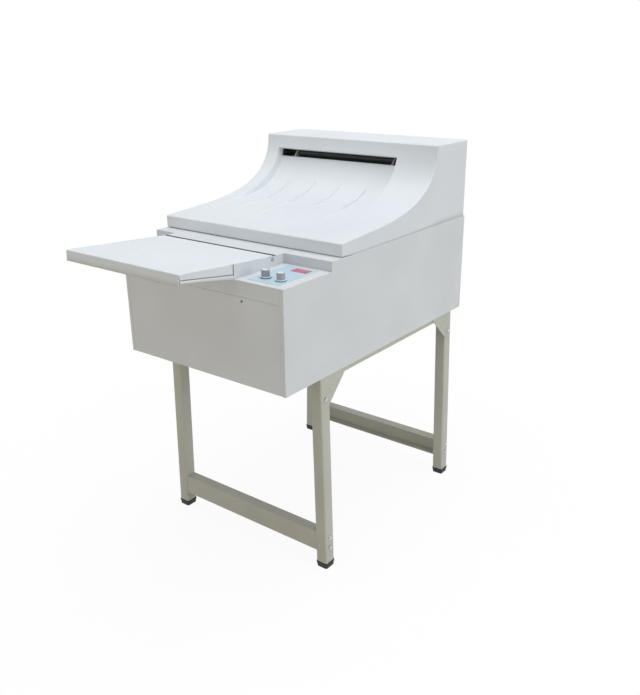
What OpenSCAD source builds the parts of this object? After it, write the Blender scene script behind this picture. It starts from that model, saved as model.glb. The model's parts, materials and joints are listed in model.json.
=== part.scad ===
// X-ray film processor on a four-legged stand.
// X runs across the front to the right, Y from the feed tray to the rear, Z up from the floor.
// The origin is on the floor, under the middle of the whole object.

/* [Stand] */
// Floor to the underside of the cabinet
stand_h = 578; // [480:1:680]
// Width of a leg across the front
leg_w = 35; // [28:1:42]
// Depth of a leg from front to rear
leg_d = 37; // [32:1:45]
// Wall of the leg tube
leg_wall = 2; // [1.5:0.1:3]
// Front legs behind the cabinet's front face
leg_setback = 140; // [60:1:200]
// Rear legs ahead of the cabinet's rear face
leg_rear_setback = 56; // [40:1:150]
// Legs' outer faces inside the cabinet's sides, at the top
leg_inset = 0.5; // [0.5:0.5:20]
// Spread of each leg from the top to the floor
leg_splay = 15; // [0:1:25]
// Height of a foot cap under its leg
foot_h = 18; // [10:1:30]
// Foot cap's stand-out round the leg
foot_lip = 1.5; // [0.5:0.1:3]
// Height of the cross beams
beam_h = 59; // [40:1:80]
// Depth of the cross beams
beam_d = 32; // [20:1:32]
// Sheet of the cross beams
beam_wall = 2; // [1.5:0.1:3]
// Floor to the front beam
front_beam_z = 51; // [30:1:150]
// Floor to the rear beam
rear_beam_z = 65; // [30:1:150]
// Reach of a leg gusset along the cabinet
gusset_reach = 80; // [60:1:110]
// Drop of a leg gusset below the cabinet
gusset_drop = 80; // [50:1:100]
// Plate of a leg gusset
gusset_plate = 3; // [2:0.1:5]
// Height of the side rails
rail_h = 14; // [10:1:24]
// Width of the side rails
rail_w = 26; // [18:1:34]
// Shank diameter of the stand bolts
bolt_d = 8; // [6:0.5:10]
// Gusset bolt below the cabinet
gusset_bolt_drop = 62; // [30:1:70]

/* [Cabinet] */
// Width of the lower cabinet
cabinet_w = 560; // [500:1:640]
// Width of the drive cover on the left
drive_w = 80; // [75:1:110]
// Depth of the cabinet
cabinet_d = 890; // [860:1:980]
// Height of the cabinet up to the deck
cabinet_h = 300; // [280:1:360]
// Sheet thickness of the cabinet
sheet = 1.5; // [1:0.1:2.5]
// Depth of the low front section
front_d = 191; // [185:1:220]
// Control deck below the top deck
deck_drop = 26; // [22:0.5:34]
// Width of the control deck
control_w = 153; // [140:1:175]
// Height of the front fascia
fascia_h = 41; // [30:1:60]
// Side panels' wrap round the front and rear
side_wrap = 11; // [8:0.5:20]
// Reveal between neighbouring panels
reveal = 0.8; // [0.4:0.1:1.5]
// Height of the drive cover
drive_h = 226; // [205:1:240]
// Turned-in edge of a panel
fold = 14; // [8:1:20]
// Diameter of the panel screws' heads
screw_d = 7; // [5:0.5:9]
// Front panel screws from the cabinet's middle
screw_spread = 148; // [100:1:220]

/* [Hood] */
// Hood's front behind the deck's step
hood_setback = 43; // [30:1:60]
// Height of the hood above the deck
hood_h = 230; // [210:1:260]
// Height of the hood's front lip
lip_h = 36; // [26:1:46]
// Depth of the hood's flat top
hood_top_d = 186; // [165:1:200]
// Wall of the hood
hood_wall = 3; // [2.5:0.1:4]
// Run of the curve's front handle
sweep_front_run = 213; // [180:1:240]
// Rise of the curve's front handle
sweep_front_rise = 15; // [10:1:20]
// Run of the curve's rear handle
sweep_rear_run = 3; // [2:1:10]
// Drop of the curve's rear handle
sweep_rear_drop = 184; // [170:1:190]
// Width of the film exit slot
slot_w = 460; // [430:1:480]
// Height of the film exit slot
slot_h = 24; // [18:1:30]
// Slot's upper edge below the hood's top
slot_drop = 45; // [38:1:55]
// Left cheek of the hood beside the slot
slot_margin = 46; // [42:1:56]
// Depth of the receiving channel at the slot
channel_depth = 20; // [14:1:24]
// Number of ribs in the channel
rib_count = 4; // [3:1:5]
// Spacing of the ribs
rib_pitch = 90; // [70:1:95]
// Height of a rib
rib_h = 3; // [1.5:0.1:5]
// Width of a rib
rib_w = 7; // [5:0.5:12]
// Width of a hood hinge
hinge_w = 70; // [50:1:100]
// Hinge to hinge
hinge_spacing = 400; // [300:1:440]
// Outer radius of the hinge knuckles
hinge_r = 5; // [4:0.1:6]
// Diameter of the hinge pins
hinge_pin_d = 5; // [4:0.1:6]

/* [Feed] */
// Reach of the feed lid ahead of the cabinet
tray_reach = 180; // [140:1:220]
// Rise of the lid towards the front, in degrees
lid_tilt = 4.2; // [3.5:0.1:6]
// Thickness of the lid's sheet
lid_sheet = 2; // [1.5:0.1:3]
// Lid pin behind the cabinet's front face
lid_pin_y = 142.5; // [130:0.5:150]
// Lid pin below the deck
lid_pin_drop = 7; // [6:0.5:10]
// Radius of the lid's rear roll
knuckle_r = 10; // [8:0.5:11]
// Diameter of the lid pins
lid_pin_d = 6; // [5:0.1:8]
// Lid's side edge next to the cabinet
lid_edge_rear = 27; // [24:0.5:30]
// Lid's side edge at the front
lid_edge_front = 14; // [10:0.5:18]
// Lid's front edge
lid_front_h = 21.5; // [18:0.5:26]
// Gap between the lid and the pieces round it
lid_gap = 2; // [1.5:0.1:3]
// Tray's rim at the front
tray_rim = 4; // [2.5:0.5:6]

/* [Controls] */
// Diameter of a knob's skirt
knob_skirt_d = 28; // [24:1:32]
// Diameter of a knob's body
knob_d = 20; // [16:1:22]
// Height of a knob
knob_h = 20; // [15:1:26]
// Distance between the knobs
knob_pitch = 48; // [40:1:60]
// Knobs behind the front face
knob_y = 54; // [40:1:70]
// Diameter of the knob spindles
spindle_d = 6; // [5:0.1:8]
// Width of the control overlay
overlay_w = 98; // [92:1:115]
// Depth of the control overlay
overlay_d = 156; // [148:1:164]
// Thickness of the control overlay
overlay_t = 0.8; // [0.5:0.1:1.2]
// Width of the display window
display_w = 50; // [40:1:60]
// Depth of the display window
display_d = 29; // [20:1:30]

/* [Film transport] */
// Length of the developer tank
developer_len = 130; // [120:1:140]
// Length of the fixer tank
fixer_len = 130; // [120:1:140]
// Length of the wash tank
wash_len = 100; // [96:1:110]
// Gap between tanks
tank_gap = 8; // [4:0.5:12]
// Height of the tanks
tank_h = 256; // [236:1:258]
// Wall of the tanks
tank_wall = 4; // [3:0.1:5]
// Side plates of the racks
rack_plate = 5; // [4:0.1:7]
// Clearance of a rack in its tank
rack_clear = 4; // [3:0.5:6]
// Diameter of the drive rollers
drive_roller_d = 34; // [28:0.5:36]
// Diameter of the pressure rollers
pressure_roller_d = 17; // [14:0.5:20]
// Diameter of the turn rollers
turn_roller_d = 50; // [40:1:56]
// Diameter of the entrance and exit rollers
guide_roller_d = 18; // [15:0.5:19]
// Diameter of the roller shafts
shaft_d = 10; // [8:0.1:11]
// Gap between paired rollers
nip = 0.4; // [0.3:0.1:0.8]
// Radial clearance of a running shaft
run_clear = 0.05; // [0.02:0.01:0.1]
// Diameter of the drive pulleys
pulley_d = 32; // [28:0.5:33]
// Width of the drive pulleys
pulley_w = 12; // [8:0.5:13]
// Thickness of the drive belts
belt_t = 2; // [1.5:0.1:2.5]
// Clearance of the belts round the pulleys
belt_clear = 0.3; // [0.3:0.05:0.6]
// Diameter of the drive motor
motor_d = 56; // [44:1:64]

/* [Dryer] */
// Radius of the blower housing
blower_r = 80; // [70:1:84]
// Length of the blower housing
blower_len = 210; // [160:1:240]
// Radius of the blower wheel
wheel_r = 62; // [54:1:64]
// Number of blades on the blower wheel
blade_count = 20; // [12:1:28]
// Diameter of the heater rods
heater_d = 8; // [6:0.5:10]
// Number of heater rods
heater_count = 3; // [2:1:4]
// Wall of the blower housing
duct_wall = 2; // [1.5:0.1:3]
// Depth of the air duct
duct_d = 60; // [45:1:70]
// Exit rollers ahead of the hood's hinge
exit_reach = 150; // [146:1:154]
// Exit rollers above the deck
exit_rise = 162; // [156:1:163]
// Dryer frame's reach from the hood's hinge
dryer_r = 237; // [230:1:238]

/* [Rear fittings] */
// Diameter of a hose tail
tail_d = 16; // [12:0.5:20]
// Reach of a hose tail behind the cabinet
tail_len = 32; // [24:1:45]
// Number of drain tails
drain_count = 3; // [2:1:3]

/* [Pumps] */
// Diameter of a circulation pump's motor
pump_d = 62; // [50:1:70]
// Length of a pump's motor
pump_len = 90; // [70:1:100]
// Length of a pump's wet end
pump_head_len = 22; // [16:1:30]
// Pump to pump
pump_pitch = 160; // [140:1:180]
// Left pump inside the tanks' left side
pump_inset = 40; // [20:1:60]

/* [Hidden] */
$fn = 64;
eps = 0.01;

// Colours
paint = [0.86, 0.87, 0.87];
shade = [0.74, 0.74, 0.71];
stand_paint = [0.70, 0.69, 0.63];
moulding = [0.91, 0.92, 0.93];
black = [0.08, 0.08, 0.08];
steel = [0.72, 0.73, 0.75];
tank_grey = [0.45, 0.48, 0.52];
rack_white = [0.88, 0.88, 0.84];
rubber_grey = [0.32, 0.33, 0.35];

// Planes of the cabinet, measured from the middle, the front face and the floor
total_w = cabinet_w + drive_w;
x_right = total_w / 2;
x_left = x_right - cabinet_w;
x_outer = -total_w / 2;
x_cheek = x_right - control_w;
z_pan = stand_h + sheet;
z_deck = stand_h + cabinet_h;
z_under = z_deck - sheet;
z_control = z_deck - deck_drop;
z_seam = z_control - fascia_h;
hinge_offset = hinge_r + 1;
rear_reach = max(tail_len, hinge_offset + hinge_r);
y_mid = (cabinet_d + rear_reach - tray_reach) / 2;

// Stand: lean of the legs, and the reach of the lowest bolt heads and of the feet on the right
splay_angle = atan(leg_splay / stand_h);
bolt_head_h = bolt_d * 0.5;
bolt_head_d = bolt_d * 1.8;
low_bolt_z = min(beam_bolt_z(false, false), beam_bolt_z(true, false));
bolt_reach = bolt_head_h * cos(splay_angle) + (stand_h - low_bolt_z + bolt_head_d / 2) * sin(splay_angle);
foot_reach = foot_lip * cos(splay_angle) + (stand_h - foot_h) * sin(splay_angle);
x_reach = leg_outer(true) + max(bolt_reach, foot_reach);
x_mid = (x_outer + x_reach) / 2;

// Feed lid: u runs forward from the pin along the lid, v stands square to it
lid_pin_z = z_deck - lid_pin_drop;
lid_v = knuckle_r - 0.4;
lid_len = (lid_pin_y + tray_reach + (lid_v - lid_front_h) * sin(lid_tilt)) / cos(lid_tilt);
lid_wide_u = knuckle_r + 4;
lid_edge_u = (lid_pin_y + lid_gap + lid_v * sin(lid_tilt)) / cos(lid_tilt);
lid_corner_r = 8;
lid_rest = 0.4;
function lid_point(u, v) = [lid_pin_y - u * cos(lid_tilt) + v * sin(lid_tilt),
    lid_pin_z + u * sin(lid_tilt) + v * cos(lid_tilt)];
function lid_z(y, v) = lid_point((lid_pin_y + v * sin(lid_tilt) - y) / cos(lid_tilt), v)[1];

// Hood: side curve as a cubic, with a depth below it for walls and for the channel
hood_y = front_d + hood_setback;
hood_z = z_deck + 0.4;
z_top = z_deck + hood_h;
curve_steps = 24;
sweep = [[hood_y, z_deck + lip_h],
    [hood_y + sweep_front_run, z_deck + lip_h + sweep_front_rise],
    [cabinet_d - hood_top_d - sweep_rear_run, z_top - sweep_rear_drop],
    [cabinet_d - hood_top_d, z_top]];
function sweep_at(t) = (1 - t) ^ 3 * sweep[0] + 3 * t * (1 - t) ^ 2 * sweep[1]
    + 3 * t ^ 2 * (1 - t) * sweep[2] + t ^ 3 * sweep[3];
function sweep_dir(t) = 3 * (1 - t) ^ 2 * (sweep[1] - sweep[0])
    + 6 * t * (1 - t) * (sweep[2] - sweep[1]) + 3 * t ^ 2 * (sweep[3] - sweep[2]);
function sweep_below(t, depth) = let (d = sweep_dir(t))
    sweep_at(t) + depth * [d[1], -d[0]] / norm(d);
function sweep_find(z, depth = 0, lo = 0, hi = 1, n = 30) = let (mid = (lo + hi) / 2)
    n == 0 ? mid : sweep_below(mid, depth)[1] < z ? sweep_find(z, depth, mid, hi, n - 1)
    : sweep_find(z, depth, lo, mid, n - 1);
channel_t = [0.28, 0.66];
t_slot_top = sweep_find(z_top - slot_drop);
t_slot_low = sweep_find(z_top - slot_drop - slot_h, channel_depth);
function channel_share(t) = min(1, max(0, (t - channel_t[0]) / (channel_t[1] - channel_t[0])));
function channel_depth_at(t) = let (s = channel_share(t)) channel_depth * s * s * (3 - 2 * s);
slot_x0 = x_outer + slot_margin;
slot_x1 = slot_x0 + slot_w;

// Hood hinge axis
hinge_y = cabinet_d + hinge_offset;
hinge_leaf = 2;
hinge_leaf_h = 32;
hinge_gap = 0.5;
hinge_clear = hinge_r + 3;

// Film path: tank places, roller axes and the drive plane
film_z = z_control + sheet + 1;
tank_x0 = x_left + sheet + 4.5;
tank_x1 = x_cheek - sheet - 1.5;
tank_y0 = hood_y + 6;
developer_y = tank_y0 + developer_len / 2;
fixer_y0 = tank_y0 + developer_len + tank_gap;
fixer_y = fixer_y0 + fixer_len / 2;
wash_y0 = fixer_y0 + fixer_len + tank_gap;
wash_y = wash_y0 + wash_len / 2;
wash_end = wash_y0 + wash_len;
z_rim = z_pan + tank_h;
rack_x0 = tank_x0 + tank_wall + rack_clear;
rack_x1 = tank_x1 - tank_wall - rack_clear;
roller_x0 = rack_x0 + rack_plate + 1;
roller_x1 = rack_x1 - rack_plate - 1;
drive_z = z_under - drive_roller_d / 2 - 3.5;
turn_z = z_pan + tank_wall + turn_roller_d / 2 + 14;
pressure_dy = (drive_roller_d + pressure_roller_d) / 2 + nip;
entrance_y = front_d + 23;
entrance_dz = (guide_roller_d + nip) / 2;
pulley_x1 = x_left - 8;
pulley_x0 = pulley_x1 - pulley_w;
guide_pulley_d = pulley_d * guide_roller_d / drive_roller_d;
belt_r = pulley_d / 2 + belt_clear;
guide_belt_r = guide_pulley_d / 2 + belt_clear;
belt_w = pulley_w - 2;
belt_x0 = pulley_x0 + 1;
exit_pulley_x1 = pulley_x0 - 2;
exit_pulley_x0 = exit_pulley_x1 - pulley_w;
motor_y = fixer_y;
motor_z = z_under - drive_h + motor_d / 2 + 20;

// Dryer: everything under the hood stays inside dryer_r about the hood's hinge
exit_y = hinge_y - exit_reach;
exit_z = z_deck + exit_rise;
dryer_y0 = exit_y - 85;
dryer_y1 = cabinet_d - 12;
blower_y = (wash_end + cabinet_d) / 2;
blower_z = z_pan + blower_r + 14;
blower_x0 = (tank_x0 + tank_x1 - blower_len) / 2 - 15;
blower_x1 = blower_x0 + blower_len;
duct_y0 = blower_y - blower_r + 4;
heater_z = z_under - 60;

// Controls
control_x = x_right - control_w / 2 - 2.5;
overlay_y0 = 19;
display_x = control_x + 14;
display_y = overlay_y0 + overlay_d - display_d / 2 - 11;
board_z = z_control - 42;
board_t = 1.6;

// Rear fittings
tail_wall = 2;
tail_x = x_left + 90;
tail_z = stand_h + 50;
drain_pitch = 60;
inlet_x = x_right - 90;
inlet_z = stand_h + 70;
inlet_w = 48;
inlet_h = 27;
louvre_count = 6;
louvre_w = 90;
louvre_h = 4;
louvre_pitch = 12;
louvre_z = z_deck - 130;

// Places a child from front-face coordinates into the part's own frame
module place() { translate([-x_mid, -y_mid, 0]) children(); }

module block(x, y, z) { translate([x[0], y[0], z[0]]) cube([x[1] - x[0], y[1] - y[0], z[1] - z[0]]); }

module rod_x(x, y, z, d) { translate([x[0], y, z]) rotate([0, 90, 0]) cylinder(d = d, h = x[1] - x[0]); }

module rod_y(x, y, z, d) { translate([x, y[0], z]) rotate([-90, 0, 0]) cylinder(d = d, h = y[1] - y[0]); }

module rod_z(x, y, z, d) { translate([x, y, z[0]]) cylinder(d = d, h = z[1] - z[0]); }

// Carries an outline drawn in Y and Z across from x[0] to x[1]
module across(x) { translate([x[0], 0, 0]) rotate([90, 0, 90]) linear_extrude(x[1] - x[0]) children(); }

// Stand

function leg_y0(rear) = rear ? cabinet_d - leg_rear_setback - leg_d : leg_setback;
function leg_x0(right) = right ? x_right - leg_inset - leg_w : x_left + leg_inset;
function leg_outer(right) = right ? x_right - leg_inset : x_left + leg_inset;
function beam_z0(rear) = rear ? rear_beam_z : front_beam_z;
function beam_bolt_z(rear, upper) = beam_z0(rear) + beam_h * (upper ? 0.76 : 0.24);

// Leans what is drawn on an upright leg outwards, about the leg's upper outer edge
module lean(right) {
    way = right ? -1 : 1;
    translate([leg_outer(right), 0, stand_h]) rotate([0, way * splay_angle, 0])
        translate([-leg_outer(right), 0, -stand_h]) children();
}

// Everything between two heights round one side of the stand
module layer(right, z) {
    reach = 2 * leg_w + leg_splay;
    block([leg_outer(right) - reach, leg_outer(right) + reach], [0, cabinet_d], z);
}

// Envelope of an upright leg, wider by grow on its inner side and run on past both ends
module leg_envelope(right, rear, grow = 0) {
    x0 = leg_x0(right) - (right ? grow : 0);
    block([x0, x0 + leg_w + grow], [leg_y0(rear), leg_y0(rear) + leg_d], [-leg_w, stand_h + leg_w]);
}

module bolt_holes(right, rear) {
    x0 = leg_x0(right) - beam_wall - 1;
    x1 = leg_x0(right) + leg_w + beam_wall + 1;
    yc = leg_y0(rear) + leg_d / 2;
    for (upper = [false, true]) rod_x([x0, x1], yc, beam_bolt_z(rear, upper), bolt_d + 0.4);
    rod_x([x0, x1], yc, stand_h - gusset_bolt_drop, bolt_d + 0.4);
}

module gusset(right, rear) {
    x0 = right ? leg_outer(right) - gusset_plate : leg_outer(right);
    edge = rear ? leg_y0(rear) : leg_y0(rear) + leg_d;
    way = rear ? -1 : 1;
    across([x0, x0 + gusset_plate]) polygon([
        [edge - way * leg_wall, stand_h + 1], [edge + way * gusset_reach, stand_h + 1],
        [edge + way * gusset_reach, stand_h], [edge, stand_h - gusset_drop],
        [edge - way * leg_wall, stand_h - gusset_drop]]);
}

module leg(right, rear) {
    x0 = leg_x0(right);
    y0 = leg_y0(rear);
    place() intersection() {
        layer(right, [foot_h, stand_h]);
        lean(right) difference() {
            union() {
                difference() {
                    leg_envelope(right, rear);
                    block([x0 + leg_wall, x0 + leg_w - leg_wall], [y0 + leg_wall, y0 + leg_d - leg_wall],
                        [-leg_w - 1, stand_h - 2 * leg_wall]);
                }
                gusset(right, rear);
            }
            bolt_holes(right, rear);
        }
    }
}

module leg_front_left() { color(stand_paint) leg(false, false); }
module leg_front_right() { color(stand_paint) leg(true, false); }
module leg_rear_left() { color(stand_paint) leg(false, true); }
module leg_rear_right() { color(stand_paint) leg(true, true); }

// A cap with a tapered rim under the leg and a plug inside the tube
module foot(right, rear) {
    x0 = leg_x0(right) - foot_lip;
    y0 = leg_y0(rear) - foot_lip;
    w = leg_w + 2 * foot_lip;
    d = leg_d + 2 * foot_lip;
    spare = foot_h / 4;
    low = foot_lip * (1 + spare / foot_h);
    high = -foot_lip * spare / foot_h;
    z = [-spare, foot_h + spare];
    plug = leg_wall + 0.2;
    intersection() {
        layer(right, [0, foot_h]);
        lean(right) intersection() {
            across([x0 - w, x0 + 2 * w]) polygon([[y0 + low, z[0]], [y0 + d - low, z[0]],
                [y0 + d - high, z[1]], [y0 + high, z[1]]]);
            translate([0, y0 + 2 * d, 0]) rotate([90, 0, 0]) linear_extrude(3 * d)
                polygon([[x0 + low, z[0]], [x0 + w - low, z[0]], [x0 + w - high, z[1]], [x0 + high, z[1]]]);
        }
    }
    lean(right) block([x0 + foot_lip + plug, x0 + w - foot_lip - plug],
        [y0 + foot_lip + plug, y0 + d - foot_lip - plug], [foot_h - 3, foot_h + 12]);
}

module foot_caps() {
    color(black) place() for (right = [false, true], rear = [false, true]) foot(right, rear);
}

// A channel between the legs with end plates, open to the inside of the stand
module beam(rear) {
    x0 = leg_x0(false) + leg_w;
    x1 = leg_x0(true);
    y0 = leg_y0(rear) + (leg_d - beam_d) / 2;
    z0 = beam_z0(rear);
    open_y = rear ? y0 - 1 : y0 + beam_wall;
    place() difference() {
        block([x0 - leg_splay, x1 + leg_splay], [y0, y0 + beam_d], [z0, z0 + beam_h]);
        difference() {
            block([x0 - leg_splay, x1 + leg_splay], [open_y, open_y + beam_d - beam_wall + 1],
                [z0 + beam_wall, z0 + beam_h - beam_wall]);
            for (right = [false, true]) lean(right) leg_envelope(right, rear, beam_wall);
        }
        for (right = [false, true]) lean(right) {
            leg_envelope(right, rear);
            bolt_holes(right, rear);
        }
    }
}

module beam_front() { color(stand_paint) beam(false); }
module beam_rear() { color(stand_paint) beam(true); }

rail_clear = 0.1;
rail_y0 = leg_setback + leg_d + rail_clear;
rail_y1 = cabinet_d - leg_rear_setback - leg_d - rail_clear;
function rail_x0(right) = right ? leg_outer(true) - gusset_plate - rail_clear - rail_w
    : leg_outer(false) + gusset_plate + rail_clear;

module side_rails() {
    color(stand_paint) place() for (right = [false, true]) difference() {
        block([rail_x0(right), rail_x0(right) + rail_w], [rail_y0, rail_y1], [stand_h - rail_h, stand_h]);
        block([rail_x0(right) + leg_wall, rail_x0(right) + rail_w - leg_wall],
            [rail_y0 - 1, rail_y1 + 1], [stand_h - rail_h - 1, stand_h - leg_wall]);
    }
}

// A bolt along X: hexagon head outside the leg, nut on the inner side of what it clamps
module stand_bolt(right, y, z, grip) {
    way = right ? -1 : 1;
    lean(right) translate([leg_outer(right), y, z]) rotate([0, way * 90, 0]) {
        translate([0, 0, -bolt_head_h]) cylinder(d = bolt_head_d, h = bolt_head_h, $fn = 6);
        translate([0, 0, -eps]) cylinder(d = bolt_d, h = grip + bolt_head_h + 2);
        translate([0, 0, grip]) cylinder(d = bolt_head_d, h = bolt_head_h, $fn = 6);
    }
}

module stand_bolts() {
    color(steel) place() for (right = [false, true], rear = [false, true]) {
        yc = leg_y0(rear) + leg_d / 2;
        for (upper = [false, true]) stand_bolt(right, yc, beam_bolt_z(rear, upper), leg_w + beam_wall);
        stand_bolt(right, yc, stand_h - gusset_bolt_drop, leg_w);
    }
}

// Cabinet

module base_pan() {
    x = [x_left + sheet, x_right - sheet];
    y = [sheet, cabinet_d - sheet];
    color(shade) place() difference() {
        block(x, y, [stand_h, z_pan + fold]);
        block([x[0] + sheet, x[1] - sheet], [y[0] + sheet, y[1] - sheet], [z_pan, z_pan + fold + 1]);
    }
}

// Upright at the side of the feed unit, under the sloping lid
module cheek_outline(low) {
    step_y = lid_pin_y - lid_wide_u * cos(lid_tilt) - 1;
    v = lid_v - lid_sheet - lid_rest;
    polygon([[0, low], [front_d - sheet, low], [front_d - sheet, z_deck], [step_y, z_deck],
        [step_y, lid_z(step_y, v)], [0, lid_z(0, v)]]);
}

module lid_pin_hole(x) { rod_x(x, lid_pin_y, lid_pin_z, lid_pin_d + 2 * run_clear); }

module side_flanges(right, top) {
    x = right ? [x_right - side_wrap, x_right] : [x_left, x_left + side_wrap];
    block(x, [0, sheet], [stand_h, top]);
    block(x, [cabinet_d - sheet, cabinet_d], [stand_h, z_under]);
}

module side_panel_right() {
    color(paint) place() {
        across([x_right - sheet, x_right]) polygon([[0, stand_h], [cabinet_d, stand_h], [cabinet_d, z_under],
            [front_d - sheet, z_under], [front_d - sheet, z_control], [0, z_control]]);
        side_flanges(true, z_control);
    }
}

module entrance_holes(x) {
    for (dz = [-entrance_dz, entrance_dz]) rod_x(x, entrance_y, film_z + dz, shaft_d + 2 * run_clear);
}

module shaft_pass(y, z) { rod_x([x_left - 1, x_left + sheet + 1], y, z, shaft_d + 3); }

module side_panel_left() {
    color(paint) place() difference() {
        union() {
            across([x_left, x_left + sheet]) {
                polygon([[0, stand_h], [cabinet_d, stand_h], [cabinet_d, z_under], [0, z_under]]);
                cheek_outline(stand_h);
            }
            side_flanges(false, z_control);
        }
        lid_pin_hole([x_left - 1, x_left + sheet + 1]);
        entrance_holes([x_left - 1, x_left + sheet + 1]);
        for (y = [developer_y, fixer_y, wash_y]) shaft_pass(y, drive_z);
    }
}

function inner_x(gap) = [x_left + side_wrap + gap, x_right - side_wrap - gap];

module rear_panel() {
    z = [stand_h + reveal, z_under - reveal];
    through = [cabinet_d - sheet - 1, cabinet_d + 1];
    color(shade) place() difference() {
        block(inner_x(reveal), [cabinet_d - sheet, cabinet_d], z);
        for (i = [0:drain_count]) rod_y(tail_x + i * drain_pitch, through, tail_z, tail_d + 0.4);
        block([inlet_x - inlet_w / 2, inlet_x + inlet_w / 2], through,
            [inlet_z - inlet_h / 2, inlet_z + inlet_h / 2]);
        for (i = [0:louvre_count - 1]) block([x_cheek - louvre_w * 2, x_cheek - louvre_w], through,
            [louvre_z + i * louvre_pitch, louvre_z + i * louvre_pitch + louvre_h]);
    }
}

module front_panel() {
    x = inner_x(reveal);
    z = [stand_h + reveal, z_seam - reveal];
    color(paint) place() difference() {
        union() {
            block(x, [0, sheet], z);
            block([x[0] + fold, x[1] - fold], [0, fold], [z[1] - sheet, z[1]]);
        }
        for (x = front_screw_x) rod_y(x, [-1, sheet + 1], front_screw_z, screw_d * 0.5 + 0.4);
    }
}

module control_housing() {
    x = inner_x(reveal);
    deck = [z_control - sheet, z_control];
    color(paint) place() difference() {
        union() {
            block(x, [0, sheet], [z_seam, z_control]);
            block([x[0], x_cheek], [0, fold], deck);
            block([x_cheek - sheet, x_right - sheet], [sheet, front_d - sheet], deck);
            block([x_cheek - sheet, x[1]], [0, sheet + eps], deck);
            across([x_cheek - sheet, x_cheek]) cheek_outline(z_control - sheet);
        }
        lid_pin_hole([x_cheek - sheet - 1, x_cheek + 1]);
        for (x = knob_x) rod_z(x, knob_y, [z_control - sheet - 1, z_control + 1], spindle_d + 2);
    }
}

tongue_y = lid_pin_y + knuckle_r + lid_gap;

module top_deck() {
    slot_gap = 4;
    color(paint) place() difference() {
        union() {
            block([x_outer, x_right], [front_d - sheet, cabinet_d], [z_under, z_deck]);
            block([x_left + sheet, x_cheek - sheet], [tongue_y, front_d], [z_under, z_deck]);
            block([x_cheek, x_right - sheet], [front_d - sheet, front_d], [z_control, z_deck]);
        }
        block([tank_x0, tank_x1], [tank_y0, wash_end], [z_under - 1, z_deck + 1]);
        block([blower_x0, blower_x1], [duct_y0, duct_y0 + duct_d], [z_under - 1, z_deck + 1]);
        block([exit_pulley_x0 - slot_gap, exit_pulley_x1 + slot_gap], [wash_y - belt_r - 8, wash_y + 90],
            [z_under - 1, z_deck + 1]);
        block([x_outer - 1, x_left], [front_d - sheet - 1, front_d], [z_under - 1, z_deck + 1]);
    }
}

// Inner wall between the wet side and the service bay
module bay_partition() {
    color(shade) place() difference() {
        block([x_cheek - sheet, x_cheek], [front_d, cabinet_d - 2 * sheet], [z_pan, z_under]);
        entrance_holes([x_cheek - sheet - 1, x_cheek + 1]);
    }
}

// Drive cover: four flat sheets round the drive bay, the outer one over the edges of the others
cover_gap = 0.1;
module drive_cover() {
    x = [x_outer + sheet + cover_gap, x_left];
    y = [front_d, cabinet_d];
    z = [z_under - drive_h, z_under];
    color(paint) place() {
        block([x_outer, x_outer + sheet], y, z);
        block(x, [y[0], y[0] + sheet], z);
        block(x, [y[1] - sheet, y[1]], z);
        block(x, [y[0] + sheet + cover_gap, y[1] - sheet - cover_gap], [z[0], z[0] + sheet]);
    }
}

// Panel screws: a low round head outside and a short shank through the sheet
front_screw_x = [for (side = [-1, 1]) (x_left + x_right) / 2 + side * screw_spread];
front_screw_z = z_seam - 11;
module panel_screws() {
    color(steel) place() for (x = front_screw_x) {
        rod_y(x, [-1.6, 0], front_screw_z, screw_d);
        rod_y(x, [-eps, sheet + 6], front_screw_z, screw_d * 0.5);
    }
}

// Controls

knob_x = [for (side = [-1, 1]) control_x + 4 + side * knob_pitch / 2];

module display_block(z) {
    block([display_x - display_w / 2, display_x + display_w / 2],
        [display_y - display_d / 2, display_y + display_d / 2], z);
}

module control_overlay() {
    color([0.76, 0.87, 0.92]) place() difference() {
        block([control_x - overlay_w / 2, control_x + overlay_w / 2], [overlay_y0, overlay_y0 + overlay_d],
            [z_control, z_control + overlay_t]);
        for (x = knob_x) rod_z(x, knob_y, [z_control - 1, z_control + overlay_t + 1], spindle_d + 2);
        display_block([z_control - 1, z_control + overlay_t + 1]);
    }
}

module display_window() {
    color([0.78, 0.22, 0.32]) place() display_block([z_control, z_control + overlay_t + 0.4]);
}

// A skirted knob with a pointer rib and its spindle
module knob(x) {
    z0 = z_control + overlay_t + 0.5;
    skirt_h = knob_h * 0.25;
    rib = knob_d * 0.12;
    place() {
        rod_z(x, knob_y, [z0, z0 + skirt_h], knob_skirt_d);
        rod_z(x, knob_y, [z0 + skirt_h - eps, z0 + knob_h], knob_d);
        block([x - rib / 2, x + rib / 2], [knob_y - knob_skirt_d * 0.45, knob_y],
            [z0 + skirt_h - eps, z0 + knob_h + 0.6]);
        rod_z(x, knob_y, [board_z + board_t + 3, z0 + eps], spindle_d);
    }
}

module time_knob() { color([0.62, 0.64, 0.68]) knob(knob_x[0]); }
module temperature_knob() { color([0.62, 0.64, 0.68]) knob(knob_x[1]); }

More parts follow.
